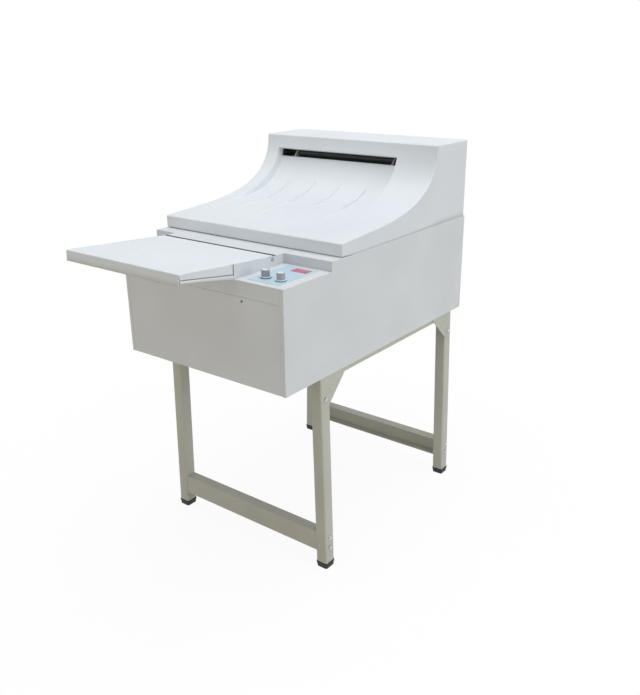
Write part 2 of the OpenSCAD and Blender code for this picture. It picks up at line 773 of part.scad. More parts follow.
// Board hung on posts under the control deck, with the two rotary controls and larger components
module control_board() {
    x = [control_x - overlay_w / 2, control_x + overlay_w / 2];
    y = [overlay_y0 + 6, overlay_y0 + overlay_d - 6];
    control_h = 14;
    control_d = 18;
    parts_z = board_z + board_t - eps;
    large_part = [36, 40, 20];
    small_part = [26, 26, 14];
    color([0.12, 0.38, 0.24]) place() difference() {
        union() {
            block(x, y, [board_z, board_z + board_t]);
            for (px = [x[0] + 5, x[1] - 5], py = [y[0] + 5, y[1] - 5])
                rod_z(px, py, [parts_z, z_control - sheet], 6);
            for (kx = knob_x) rod_z(kx, knob_y, [parts_z, board_z + board_t + control_h], control_d);
            translate([x[0] + 14, y[1] - 60, parts_z]) cube(large_part);
            translate([x[1] - 40, y[1] - 50, parts_z]) cube(small_part);
        }
        for (kx = knob_x) rod_z(kx, knob_y, [parts_z + 2, z_control], spindle_d + 2 * run_clear);
    }
}

// Feed unit

tray_y0 = -tray_reach + lid_sheet + lid_gap;
function edge_rear() = lid_point(lid_edge_u, lid_v - lid_edge_rear);
function edge_front() = lid_point(lid_len, lid_v - lid_edge_front);
tray_front_z = edge_front()[1] - lid_gap - tray_rim;

// A shallow pan that rises to the front ahead of the cabinet and runs level to the entrance rollers
module feed_tray() {
    rim = [[-1, z_control], [tray_y0, tray_front_z], [tray_y0, tray_front_z + tray_rim],
        [edge_rear()[0], edge_rear()[1] - lid_gap], [-1, edge_rear()[1] - lid_gap]];
    color(paint) place() {
        across([x_left, x_cheek]) polygon([[-1, z_control], [-1, z_control + sheet],
            [tray_y0, tray_front_z + sheet], [tray_y0, tray_front_z]]);
        block([x_left + sheet + lid_rest, x_cheek - sheet - lid_rest],
            [-1 - eps, entrance_y - guide_roller_d / 2 - lid_gap], [z_control, z_control + sheet]);
        for (x = [x_left, x_cheek - sheet]) across([x, x + sheet]) polygon(rim);
        across([x_left, x_cheek]) polygon([[tray_y0, tray_front_z], [tray_y0 + sheet, tray_front_z],
            [tray_y0 + sheet, tray_front_z + tray_rim], [tray_y0, tray_front_z + tray_rim]]);
    }
}

// Side edge of the lid, with its lower corner rounded beside the cabinet
module lid_edge_outline() {
    low = lid_v - lid_edge_rear;
    corner = [for (a = [0:15:90]) lid_point(lid_edge_u + lid_corner_r * (1 - cos(a)),
        low + lid_corner_r * (1 - sin(a)))];
    polygon(concat([lid_point(lid_edge_u, lid_v)], corner,
        [lid_point(lid_len, lid_v - lid_edge_front), lid_point(lid_len, lid_v)]));
}

module lid_strip(u, v) {
    polygon([lid_point(u[0], v[0]), lid_point(u[1], v[0]), lid_point(u[1], v[1]), lid_point(u[0], v[1])]);
}

module feed_lid() {
    knuckle_x = [x_left + sheet + lid_rest, x_cheek - sheet - lid_rest];
    top = [lid_v - lid_sheet, lid_v];
    color(moulding) place() difference() {
        union() {
            rod_x(knuckle_x, lid_pin_y, lid_pin_z, 2 * knuckle_r);
            across(knuckle_x) lid_strip([0, lid_len], top);
            across([x_left, x_cheek]) {
                lid_strip([lid_wide_u, lid_len], top);
                lid_strip([lid_len - lid_sheet, lid_len], [lid_v - lid_front_h, lid_v]);
            }
            for (x = [x_left, x_cheek - lid_sheet]) across([x, x + lid_sheet]) lid_edge_outline();
        }
        rod_x([knuckle_x[0] - 1, knuckle_x[1] + 1], lid_pin_y, lid_pin_z, lid_pin_d + 2 * run_clear);
    }
}

// Two headed pins, pushed through the cheeks into the lid's roll
module lid_hinge_pins() {
    reach = 30;
    head = 1.2;
    color(steel) place() {
        rod_x([x_cheek - reach, x_cheek + eps], lid_pin_y, lid_pin_z, lid_pin_d);
        rod_x([x_cheek, x_cheek + head], lid_pin_y, lid_pin_z, lid_pin_d + 4);
        rod_x([x_left - eps, x_left + reach], lid_pin_y, lid_pin_z, lid_pin_d);
        rod_x([x_left - head, x_left], lid_pin_y, lid_pin_z, lid_pin_d + 4);
    }
}

// A roller body on its shaft
module roller(x, body, y, z, d) {
    rod_x(x, y, z, shaft_d);
    rod_x(body, y, z, d);
}

// A pulley with shouldered ends
module pulley(x, y, z, d = pulley_d) {
    shoulder = 1;
    rod_x(x, y, z, d - belt_t);
    rod_x([x[0] + shoulder, x[1] - shoulder], y, z, d);
}

entrance_body = [x_left + sheet + 2, x_cheek - sheet - 2];
entrance_shaft_end = x_cheek + 6;

// The upper entrance roller is driven, the lower one is pressed against the film
module entrance_drive_roller() {
    color(rubber_grey) place() {
        z = film_z + entrance_dz;
        roller([pulley_x0, entrance_shaft_end], entrance_body, entrance_y, z, guide_roller_d);
        pulley([pulley_x0, pulley_x1], entrance_y, z, guide_pulley_d);
    }
}

module entrance_pressure_roller() {
    z = film_z - entrance_dz;
    color(rubber_grey) place()
        roller([x_left - 6, entrance_shaft_end], entrance_body, entrance_y, z, guide_roller_d);
}

// Tanks and racks

module tank(y0, len) {
    color(tank_grey) place() difference() {
        block([tank_x0, tank_x1], [y0, y0 + len], [z_pan, z_rim]);
        block([tank_x0 + tank_wall, tank_x1 - tank_wall], [y0 + tank_wall, y0 + len - tank_wall],
            [z_pan + tank_wall, z_rim + 1]);
    }
}

module developer_tank() { tank(tank_y0, developer_len); }
module fixer_tank() { tank(fixer_y0, fixer_len); }
module wash_tank() { tank(wash_y0, wash_len); }

// Two side plates with ears on the tank's rim, tied by rods, bored for the three rollers
module rack(y, len) {
    half = len / 2 - tank_wall - rack_clear;
    ear = 5;
    z_low = z_pan + tank_wall + rack_clear;
    z_high = drive_z + shaft_d / 2 + 4;
    tie_d = 8;
    tie_y = half - tie_d;
    plates = [[rack_x0, rack_x0 + rack_plate], [rack_x1 - rack_plate, rack_x1]];
    color(rack_white) place() difference() {
        union() {
            for (x = plates) block(x, [y - half, y + half], [z_low, z_high]);
            block([tank_x0, rack_x0 + eps], [y - half, y + half], [z_rim, z_rim + ear]);
            block([rack_x1 - eps, tank_x1], [y - half, y + half], [z_rim, z_rim + ear]);
            for (ty = [y - tie_y, y + tie_y], tz = [z_low + 80, z_rim - 50])
                rod_x([rack_x0, rack_x1], ty, tz, tie_d);
        }
        for (x = plates) {
            across_hole = [x[0] - 1, x[1] + 1];
            rod_x(across_hole, y, drive_z, shaft_d + 2 * run_clear);
            rod_x(across_hole, y - pressure_dy, drive_z - 1, pressure_shaft_d + 2 * run_clear);
            rod_x(across_hole, y, turn_z, shaft_d + 2 * run_clear);
        }
    }
}

module developer_rack() { rack(developer_y, developer_len); }
module fixer_rack() { rack(fixer_y, fixer_len); }
module wash_rack() { rack(wash_y, wash_len); }

pressure_shaft_d = shaft_d * 0.7;

module drive_roller(y) {
    color(rubber_grey) place() {
        roller([pulley_x0, rack_x1 + 2], [roller_x0, roller_x1], y, drive_z, drive_roller_d);
        pulley([pulley_x0, pulley_x1], y, drive_z);
    }
}

module pressure_roller(y) {
    color(rubber_grey) place() {
        rod_x([rack_x0 - 2, rack_x1 + 2], y - pressure_dy, drive_z - 1, pressure_shaft_d);
        rod_x([roller_x0, roller_x1], y - pressure_dy, drive_z - 1, pressure_roller_d);
    }
}

module turn_roller(y) {
    color(rubber_grey) place()
        roller([rack_x0 - 2, rack_x1 + 2], [roller_x0, roller_x1], y, turn_z, turn_roller_d);
}

module developer_drive_roller() { drive_roller(developer_y); }
module fixer_drive_roller() { drive_roller(fixer_y); }
module wash_drive_roller() {
    drive_roller(wash_y);
    color(rubber_grey) place() {
        rod_x([exit_pulley_x0, pulley_x0 + eps], wash_y, drive_z, shaft_d);
        pulley([exit_pulley_x0, exit_pulley_x1], wash_y, drive_z);
    }
}
module developer_pressure_roller() { pressure_roller(developer_y); }
module fixer_pressure_roller() { pressure_roller(fixer_y); }
module wash_pressure_roller() { pressure_roller(wash_y); }
module developer_turn_roller() { turn_roller(developer_y); }
module fixer_turn_roller() { turn_roller(fixer_y); }
module wash_turn_roller() { turn_roller(wash_y); }

// Dryer

exit_dz = entrance_dz;

// Side plates on the deck, cut round inside the hood's swing, with feet, ties and film guides
module dryer_frame() {
    plates = [[rack_x0, rack_x0 + rack_plate], [rack_x1 - rack_plate, rack_x1]];
    foot_w = 14;
    tie_d = 8;
    guide_gap = 7;
    guide_low = [dryer_y0 + 12, z_deck + 20];
    guide_high = [exit_y - 4, exit_z - 26];
    lean = (guide_high - guide_low) / norm(guide_high - guide_low);
    square_off = [lean[1], -lean[0]];
    color(rack_white) place() difference() {
        union() {
            for (x = plates) intersection() {
                block(x, [dryer_y0, dryer_y1], [z_deck, z_top - hood_wall - 4]);
                rod_x(x, hinge_y, z_deck, 2 * dryer_r);
            }
            block([rack_x0 - foot_w, rack_x0 + eps], [dryer_y0 + 60, dryer_y1], [z_deck, z_deck + sheet]);
            block([rack_x1 - eps, rack_x1 + foot_w], [dryer_y0 + 60, dryer_y1], [z_deck, z_deck + sheet]);
            for (t = [[dryer_y1 - 20, z_deck + 30], [dryer_y1 - 20, z_top - 60]])
                rod_x([rack_x0, rack_x1], t[0], t[1], tie_d);
            for (near = [-guide_gap, guide_gap]) across([rack_x0 + eps, rack_x1 - eps]) polygon([
                guide_low + square_off * near, guide_high + square_off * near,
                guide_high + square_off * (near + sheet), guide_low + square_off * (near + sheet)]);
        }
        for (x = plates, dz = [-exit_dz, exit_dz])
            rod_x([x[0] - 1, x[1] + 1], exit_y, exit_z + dz, shaft_d + 2 * run_clear);
    }
}

module exit_drive_roller() {
    color(rubber_grey) place() {
        z = exit_z - exit_dz;
        roller([exit_pulley_x0, rack_x1 + 2], [roller_x0, roller_x1], exit_y, z, guide_roller_d);
        pulley([exit_pulley_x0, exit_pulley_x1], exit_y, z, guide_pulley_d);
    }
}

module exit_pressure_roller() {
    z = exit_z + exit_dz;
    color(rubber_grey) place()
        roller([rack_x0 - 2, rack_x1 + 2], [roller_x0, roller_x1], exit_y, z, guide_roller_d);
}

wheel_x = [blower_x0 + 10, blower_x1 - 10];
blower_shaft_d = 8;
blower_motor_d = 64;
blower_motor_len = 50;

// Round housing on a saddle, with a duct up to the deck and its motor on the closed end
module blower_housing() {
    inlet_r = wheel_r - 14;
    inside = [blower_x0 + duct_wall, blower_x1 - duct_wall];
    color(shade) place() difference() {
        union() {
            rod_x([blower_x0, blower_x1], blower_y, blower_z, 2 * blower_r);
            block([blower_x0, blower_x1], [blower_y - 30, blower_y + 30], [z_pan, blower_z]);
            block([blower_x0, blower_x1], [duct_y0, duct_y0 + duct_d], [blower_z, z_under]);
            rod_x([blower_x1 - eps, blower_x1 + blower_motor_len], blower_y, blower_z, blower_motor_d);
        }
        rod_x(inside, blower_y, blower_z, 2 * (blower_r - duct_wall));
        block(inside, [duct_y0 + duct_wall, duct_y0 + duct_d - duct_wall], [blower_z, z_under + 1]);
        rod_x([blower_x0 - 1, blower_x0 + duct_wall + 1], blower_y, blower_z, 2 * inlet_r);
        rod_x([blower_x1 - duct_wall - 1, blower_x1 + blower_motor_len - 10], blower_y, blower_z,
            blower_shaft_d + 2 * run_clear);
        for (i = [0:heater_count - 1])
            rod_x([blower_x0 - 1, blower_x1 + 1], heater_y(i), heater_z, heater_d + 0.2);
    }
}

function heater_y(i) = duct_y0 + duct_d * (i + 1) / (heater_count + 1);

module heater_rods() {
    color(steel) place() for (i = [0:heater_count - 1])
        rod_x([blower_x0 - 6, blower_x1 + 6], heater_y(i), heater_z, heater_d);
}

// Cage wheel: a ring cut into blades between two end rings, on a disc and a shaft
module blower_wheel() {
    ring = 8;
    band = 8;
    disc = 3;
    blade_gap = PI * wheel_r / blade_count;
    color(steel) place() {
        difference() {
            rod_x(wheel_x, blower_y, blower_z, 2 * wheel_r);
            rod_x([wheel_x[0] - 1, wheel_x[1] + 1], blower_y, blower_z, 2 * (wheel_r - ring));
            for (i = [0:blade_count - 1])
                translate([0, blower_y, blower_z]) rotate([i * 360 / blade_count, 0, 0])
                    block([wheel_x[0] + band, wheel_x[1] - band], [-blade_gap / 2, blade_gap / 2],
                        [wheel_r - 2 * ring, wheel_r + 1]);
        }
        rod_x([wheel_x[1] - disc, wheel_x[1]], blower_y, blower_z, 2 * wheel_r - ring);
        rod_x([wheel_x[1] - 20, blower_x1 + blower_motor_len - 12], blower_y, blower_z, blower_shaft_d);
    }
}

// Hood

function curve_ts(a, b) = concat([a], [for (i = [1:curve_steps - 1]) if (i / curve_steps > a + 0.005
    && i / curve_steps < b - 0.005) i / curve_steps], [b]);
function curve_line(a, b, depth) = [for (t = curve_ts(a, b)) sweep_below(t, depth)];
function channel_line(t0, depth) = [for (t = curve_ts(t0, t_slot_low))
    sweep_below(t, channel_depth_at(t) + depth)];
function reversed(list) = [for (i = [len(list) - 1:-1:0]) list[i]];

// Ends of the curve under the wall, straight behind the lip and straight under the top
inner_t0 = hood_wall / (3 * sweep_front_run);
inner_t1 = 1 - hood_wall / (3 * sweep_rear_drop);
outer_front = [[hood_y, hood_z]];
outer_rear = [[cabinet_d, z_top], [cabinet_d, hood_z]];
inner_front = [[hood_y + hood_wall, hood_z]];
inner_rear = [[cabinet_d - hood_wall, z_top - hood_wall], [cabinet_d - hood_wall, hood_z]];

module hood_solid_outline() { polygon(concat(outer_front, curve_line(0, 1, 0), outer_rear)); }

module hood_cheek_outline() {
    polygon(concat(outer_front, curve_line(0, 1, 0), outer_rear,
        reversed(concat(inner_front, curve_line(inner_t0, inner_t1, hood_wall), inner_rear))));
}

module hood_web_outline() {
    polygon(concat(outer_front, curve_line(0, 1, 0), outer_rear,
        reversed(concat(inner_front, channel_line(inner_t0, hood_wall),
            curve_line(t_slot_top, inner_t1, hood_wall), inner_rear))));
}

module hood_channel_outline() {
    polygon(concat(outer_front, channel_line(0, 0),
        reversed(concat(inner_front, channel_line(inner_t0, hood_wall)))));
    polygon(concat(curve_line(t_slot_top, 1, 0), outer_rear,
        reversed(concat(curve_line(t_slot_top, inner_t1, hood_wall), inner_rear))));
}

rib_t = [7 / curve_steps, 18 / curve_steps];

module hood_rib_outline() {
    ts = curve_ts(rib_t[0], rib_t[1]);
    top = [for (t = ts) sweep_below(t, channel_depth_at(t)
        - rib_h * sin(180 * (t - rib_t[0]) / (rib_t[1] - rib_t[0])))];
    low = [for (t = ts) sweep_below(t, channel_depth_at(t) + hood_wall / 2)];
    polygon(concat(top, reversed(low)));
}

module hood() {
    rib_x = [for (i = [0:rib_count - 1]) (x_left + x_cheek) / 2 + (i - (rib_count - 1) / 2) * rib_pitch];
    color(moulding) place() {
        across([x_outer, x_outer + hood_wall]) hood_solid_outline();
        across([x_outer + hood_wall, slot_x0 - hood_wall]) hood_cheek_outline();
        across([slot_x0 - hood_wall, slot_x0]) hood_web_outline();
        across([slot_x0, slot_x1]) hood_channel_outline();
        across([slot_x1, slot_x1 + hood_wall]) hood_web_outline();
        across([slot_x1 + hood_wall, x_right - hood_wall]) hood_cheek_outline();
        across([x_right - hood_wall, x_right]) hood_solid_outline();
        for (x = rib_x) across([x - rib_w / 2, x + rib_w / 2]) hood_rib_outline();
    }
}

hinge_x = [for (side = [-1, 1]) side * hinge_spacing / 2];
hinge_third = hinge_w / 3;

// Outer knuckles and pin on the cabinet's rear
module hood_hinge_fixed() {
    color(steel) place() for (x = hinge_x) {
        for (x0 = [x - hinge_w / 2, x + hinge_third / 2]) {
            rod_x([x0, x0 + hinge_third], hinge_y, z_deck, 2 * hinge_r);
            block([x0, x0 + hinge_third], [cabinet_d, cabinet_d + hinge_leaf],
                [z_deck - hinge_clear - eps, z_deck]);
        }
        block([x - hinge_w / 2, x + hinge_w / 2], [cabinet_d, cabinet_d + hinge_leaf],
            [z_deck - hinge_clear - hinge_leaf_h, z_deck - hinge_clear]);
        rod_x([x - hinge_w / 2, x + hinge_w / 2], hinge_y, z_deck, hinge_pin_d);
    }
}

// Middle knuckle and leaf on the hood's rear
module hood_hinge_moving() {
    color(steel) place() for (x = hinge_x) difference() {
        union() {
            mid = [x - hinge_third / 2 + hinge_gap, x + hinge_third / 2 - hinge_gap];
            rod_x(mid, hinge_y, z_deck, 2 * hinge_r);
            block(mid, [cabinet_d, cabinet_d + hinge_leaf], [hood_z, z_deck + hinge_clear + eps]);
            block([x - hinge_w / 2, x + hinge_w / 2], [cabinet_d, cabinet_d + hinge_leaf],
                [z_deck + hinge_clear, z_deck + hinge_clear + hinge_leaf_h]);
        }
        rod_x([x - hinge_w, x + hinge_w], hinge_y, z_deck, hinge_pin_d + 2 * run_clear);
    }
}

// Drive

motor_x1 = pulley_x0 - 4;
motor_x0 = x_outer + sheet + 1;

// Motor on a plate that stands on three posts from the cabinet's side
module drive_motor() {
    post_r = motor_d / 2 + 6;
    plate_t = 3;
    color(steel) place() difference() {
        union() {
            rod_x([motor_x0, motor_x1], motor_y, motor_z, motor_d);
            rod_x([motor_x1 - plate_t, motor_x1], motor_y, motor_z, 2 * post_r + 12);
            for (a = [210, 270, 330]) rod_x([motor_x1 - eps, x_left], motor_y + post_r * cos(a),
                motor_z + post_r * sin(a), 8);
        }
        rod_x([motor_x1 - 14, motor_x1 + 1], motor_y, motor_z, shaft_d + 2 * run_clear);
    }
}

module motor_pulley() {
    color(rubber_grey) place() {
        rod_x([motor_x1 - 12, pulley_x1], motor_y, motor_z, shaft_d);
        pulley([pulley_x0, pulley_x1], motor_y, motor_z);
    }
}

// A belt loop round the outside of its pulleys, which are given as [y, z, radius]
module belt(x, pulleys) {
    color(black) place() across(x) difference() {
        hull() for (p = pulleys) translate([p[0], p[1]]) circle(r = p[2] + belt_t);
        hull() for (p = pulleys) translate([p[0], p[1]]) circle(r = p[2]);
    }
}

module drive_belt() {
    belt([belt_x0, belt_x0 + belt_w], [[entrance_y, film_z + entrance_dz, guide_belt_r],
        [developer_y, drive_z, belt_r], [wash_y, drive_z, belt_r], [motor_y, motor_z, belt_r]]);
}

module exit_belt() {
    belt([exit_pulley_x0 + 1, exit_pulley_x0 + 1 + belt_w],
        [[wash_y, drive_z, belt_r], [exit_y, exit_z - exit_dz, guide_belt_r]]);
}

// Services

// Two pumps on the pan under the feed tray
module circulation_pumps() {
    foot_margin = 10;
    foot_d = pump_d * 0.8;
    outlet_d = 14;
    outlet_h = 24;
    pump_y = front_d / 2 + 8;
    pump_z = z_pan + pump_d / 2 + 12;
    color([0.20, 0.30, 0.42]) place() for (i = [0, 1]) {
        x0 = tank_x0 + pump_inset + i * pump_pitch;
        x1 = x0 + pump_len;
        rod_x([x0, x1], pump_y, pump_z, pump_d);
        rod_x([x1 - eps, x1 + pump_head_len], pump_y, pump_z, pump_d + 10);
        block([x0 + foot_margin, x1 - foot_margin], [pump_y - foot_d / 2, pump_y + foot_d / 2],
            [z_pan, pump_z]);
        rod_z(x1 + pump_head_len / 2, pump_y, [pump_z, pump_z + pump_d / 2 + outlet_h], outlet_d);
    }
}

// Hose tails in the rear panel: water inlet first, then the drains
module rear_fittings() {
    flange = 3;
    barb = 2;
    color(steel) place() for (i = [0:drain_count]) {
        x = tail_x + i * drain_pitch;
        difference() {
            union() {
                rod_y(x, [cabinet_d - sheet - 14, cabinet_d + tail_len], tail_z, tail_d);
                rod_y(x, [cabinet_d, cabinet_d + flange], tail_z, tail_d + 12);
                rod_y(x, [cabinet_d + flange + 6, cabinet_d + flange + 8], tail_z, tail_d + barb);
            }
            rod_y(x, [cabinet_d - sheet - 15, cabinet_d + tail_len + 1], tail_z, tail_d - 2 * tail_wall);
        }
    }
}

// Power inlet with three flat contacts in its socket
module power_inlet() {
    w = inlet_w / 2 - 0.3;
    h = inlet_h / 2 - 0.3;
    lip = 4;
    wall = 3;
    color(black) place() {
        difference() {
            union() {
                block([inlet_x - w, inlet_x + w], [cabinet_d - 26, cabinet_d + eps],
                    [inlet_z - h, inlet_z + h]);
                block([inlet_x - w - lip, inlet_x + w + lip], [cabinet_d, cabinet_d + 3],
                    [inlet_z - h - lip, inlet_z + h + lip]);
            }
            block([inlet_x - w + wall, inlet_x + w - wall], [cabinet_d - 20, cabinet_d + 4],
                [inlet_z - h + wall, inlet_z + h - wall]);
        }
        for (dx = [-12, 0, 12]) block([inlet_x + dx - 1, inlet_x + dx + 1], [cabinet_d - 21, cabinet_d - 4],
            [inlet_z - 3, inlet_z + 3]);
    }
}

leg_front_left();
leg_front_right();
leg_rear_left();
leg_rear_right();
foot_caps();
beam_front();
beam_rear();
side_rails();
stand_bolts();
base_pan();
side_panel_right();
side_panel_left();
rear_panel();
front_panel();
control_housing();
top_deck();
bay_partition();
drive_cover();
panel_screws();
control_overlay();
display_window();
time_knob();
temperature_knob();
control_board();
feed_tray();
feed_lid();
lid_hinge_pins();
entrance_drive_roller();
entrance_pressure_roller();
developer_tank();
fixer_tank();
wash_tank();
developer_rack();
fixer_rack();
wash_rack();
developer_drive_roller();
fixer_drive_roller();
wash_drive_roller();
developer_pressure_roller();
fixer_pressure_roller();
wash_pressure_roller();
developer_turn_roller();
fixer_turn_roller();
wash_turn_roller();
dryer_frame();
exit_drive_roller();
exit_pressure_roller();
blower_housing();
blower_wheel();
heater_rods();
hood();
hood_hinge_fixed();
hood_hinge_moving();
drive_motor();
motor_pulley();
drive_belt();
exit_belt();
circulation_pumps();
rear_fittings();
power_inlet();
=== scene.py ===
# %% [markdown]
# # A film processor on its stand
# A sheet of exposed film goes in under the lid at the front, runs on rollers through three tanks of liquid, is dried
# by warm air, and slides out of the slot in the tall hood. The solids, the joints and the sizes come packed. This
# lesson dresses them: softer shapes where the real machine is moulded or folded, paint, rubber, steel, and light.

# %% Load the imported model
import json

import bmesh
import bpy
import numpy as np
from mathutils import Matrix, Vector


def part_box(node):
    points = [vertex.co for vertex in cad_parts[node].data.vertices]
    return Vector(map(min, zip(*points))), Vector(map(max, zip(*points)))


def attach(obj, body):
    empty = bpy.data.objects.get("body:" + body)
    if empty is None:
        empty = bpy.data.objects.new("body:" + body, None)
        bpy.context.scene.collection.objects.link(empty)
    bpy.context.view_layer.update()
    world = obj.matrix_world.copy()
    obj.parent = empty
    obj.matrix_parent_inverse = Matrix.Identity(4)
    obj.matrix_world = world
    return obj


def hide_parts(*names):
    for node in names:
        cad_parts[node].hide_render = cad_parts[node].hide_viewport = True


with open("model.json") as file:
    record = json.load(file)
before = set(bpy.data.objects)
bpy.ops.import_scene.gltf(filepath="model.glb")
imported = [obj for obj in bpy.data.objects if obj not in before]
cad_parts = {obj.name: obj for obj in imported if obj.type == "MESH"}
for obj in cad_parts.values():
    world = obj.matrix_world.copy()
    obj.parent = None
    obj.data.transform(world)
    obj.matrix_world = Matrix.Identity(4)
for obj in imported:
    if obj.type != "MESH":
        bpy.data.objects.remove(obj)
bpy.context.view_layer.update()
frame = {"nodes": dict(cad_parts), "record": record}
scene = bpy.context.scene
scene.view_settings.view_transform = "Standard"

# %% [markdown]
# ## The camera
# The photographer stood to the right of the machine and a little above its hood. A camera in Blender looks along its
# own -Z with +Y up, so the three columns of its matrix are the image's right, the image's up, and the way back. The
# place and the angles were found by fitting corners that can be recognised in the picture. With the sensor fit left
# at AUTO, 36 mm lies along the long side of the image, which is its height.

# %% Camera
def look(yaw, pitch, roll):
    """Right, up and back axes of a camera turned by yaw about Z, tipped down by pitch, and rolled about its view."""
    ahead = np.array([np.sin(yaw) * np.cos(pitch), np.cos(yaw) * np.cos(pitch), -np.sin(pitch)])
    level = np.array([np.cos(yaw), -np.sin(yaw), 0.0])
    above = np.cross(level, ahead)
    right = np.cos(roll) * level + np.sin(roll) * above
    up = np.cos(roll) * above - np.sin(roll) * level
    return right, up, -ahead


camera = bpy.data.objects.new("camera", bpy.data.cameras.new("camera"))
scene.collection.objects.link(camera)
camera.data.lens = 40.676
camera.data.clip_end = 50
eye = (1.43313, -1.69904, 1.37373)
turn = Matrix(np.array(look(yaw=-0.653, pitch=0.3655, roll=-0.0099)).T.tolist()).to_4x4()
camera.matrix_world = Matrix.Translation(eye) @ turn
scene.camera = camera
print("camera at", tuple(round(v, 3) for v in camera.location))

# %% [markdown]
# ## From arrays to meshes
# Every new piece below is a grid of points worked out as one array. These helpers turn grids into faces, join the
# grids of one piece, merge the seams where two grids share an edge, and hang the piece on the body it moves with.
# Edges that turn by more than an angle, 35 degrees unless a piece says otherwise, stay crisp, and everything softer is
# shaded smooth.

# %% Mesh helpers
MM = 0.001
SEAM = 2e-6


def box_of(node):
    """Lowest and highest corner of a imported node, as arrays in metres."""
    return tuple(np.array(corner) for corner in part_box(node))


def grid(points, around=False, flip=False):
    """Points of shape (rows, columns, 3) and the quads between neighbours; around also joins last column to first."""
    index = np.arange(points.shape[0] * points.shape[1]).reshape(points.shape[:2])
    after = np.roll(index, -1, axis=1)
    if not around:
        index, after = index[:, :-1], after[:, :-1]
    quads = np.stack([index[:-1], after[:-1], after[1:], index[1:]], axis=-1).reshape(-1, 4)
    return points.reshape(-1, 3), quads[:, ::-1] if flip else quads


def piece(name, parts, body, slot, stands_for=(), crisp=35.0, outward=True, finish=None):
    """Join grids into one mesh, merge points closer than SEAM, turn the faces of a closed shape outward, and hang it on
    a body with its finish."""
    mesh = bpy.data.meshes.new(name)
    sizes = np.cumsum([0] + [len(points) for points, _ in parts])
    faces = [face for (_, quads), start in zip(parts, sizes) for face in (quads + start).tolist()]
    mesh.from_pydata(np.concatenate([points for points, _ in parts]).tolist(), [], faces)
    work = bmesh.new()
    work.from_mesh(mesh)
    bmesh.ops.remove_doubles(work, verts=work.verts, dist=SEAM)
    if outward:
        bmesh.ops.recalc_face_normals(work, faces=work.faces)
    bmesh.ops.delete(work, geom=[v for v in work.verts if not v.link_faces], context="VERTS")
    work.to_mesh(mesh)
    work.free()
    mesh.shade_smooth()
    mesh.set_sharp_from_angle(angle=np.radians(crisp))
    made = bpy.data.objects.new(name, mesh)
    scene.collection.objects.link(made)
    mesh.materials.append(finishes[finish or slot])
    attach(made, body)
    if stands_for:
        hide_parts(*stands_for)
    print(name, "points", len(mesh.vertices), "faces", len(mesh.polygons))
    return made

# %% [markdown]
# ## Finishes
# The panels are sheet steel under stove enamel, the stand has a warmer powder coat, and the hood and the lid are a
# paler white with a softer shine. Enamel is never one flat colour: it drifts a little over a panel, its skin has a fine
# orange peel, its gloss is uneven where it was wiped, and it is rubbed paler along the edges. So each finish mixes two
# close tones by a slow noise, and takes its roughness and its bump from two finer ones. All patterns read Object
# coordinates, so they stay put on each piece.

# %% Finish builder
def plug(tree, value, socket):
    """Link a value that comes out of another node into the socket, or set the socket to a plain one."""
    if isinstance(value, bpy.types.NodeSocket):
        tree.links.new(value, socket)
    else:
        socket.default_value = value


def node(tree, kind, **settings):
    """Add a shader node and set its inputs by name (spaces as _) or its properties."""
    made = tree.nodes.new(kind)
    for key, value in settings.items():
        socket = made.inputs.get(key.replace("_", " "))
        if socket is None:
            setattr(made, key, value)
        else:
            plug(tree, value, socket)
    return made


def combine(tree, operation, first, second, kind="ShaderNodeMath"):
    """Value of an operation, such as a product, on two numbers or vectors."""
    made = node(tree, kind, operation=operation)
    plug(tree, first, made.inputs[0])
    plug(tree, second, made.inputs[1])
    return made.outputs["Value"]


def noise(tree, where, scale, detail=3.0):
    """A noise pattern of about 1/scale metres across."""
    return node(tree, "ShaderNodeTexNoise", Vector=where, Scale=scale, Detail=detail).outputs["Fac"]


def spread(tree, value, low, high, start=0.3, end=0.7):
    """Map a noise, mostly between start and end, to the range low..high."""
    return node(tree, "ShaderNodeMapRange", Value=value, From_Min=start, From_Max=end, To_Min=low,
                To_Max=high).outputs["Result"]


def tone(tree, factor, first, second):
    """Mix of two colours by a factor: first where it is 0, second where it is 1."""
    mix = node(tree, "ShaderNodeMix", data_type="RGBA")
    for value, number in ((factor, 0), (first, 6), (second, 7)):
        plug(tree, (*value, 1.0) if isinstance(value, tuple) else value, mix.inputs[number])
    return mix.outputs[2]


def srgb(*values):
    """Colour written as 0..255 screen values, as linear light."""
    share = np.array(values) / 255.0
    return tuple(np.where(share <= 0.04045, share / 12.92, ((share + 0.055) / 1.055) ** 2.4))


finishes = {}


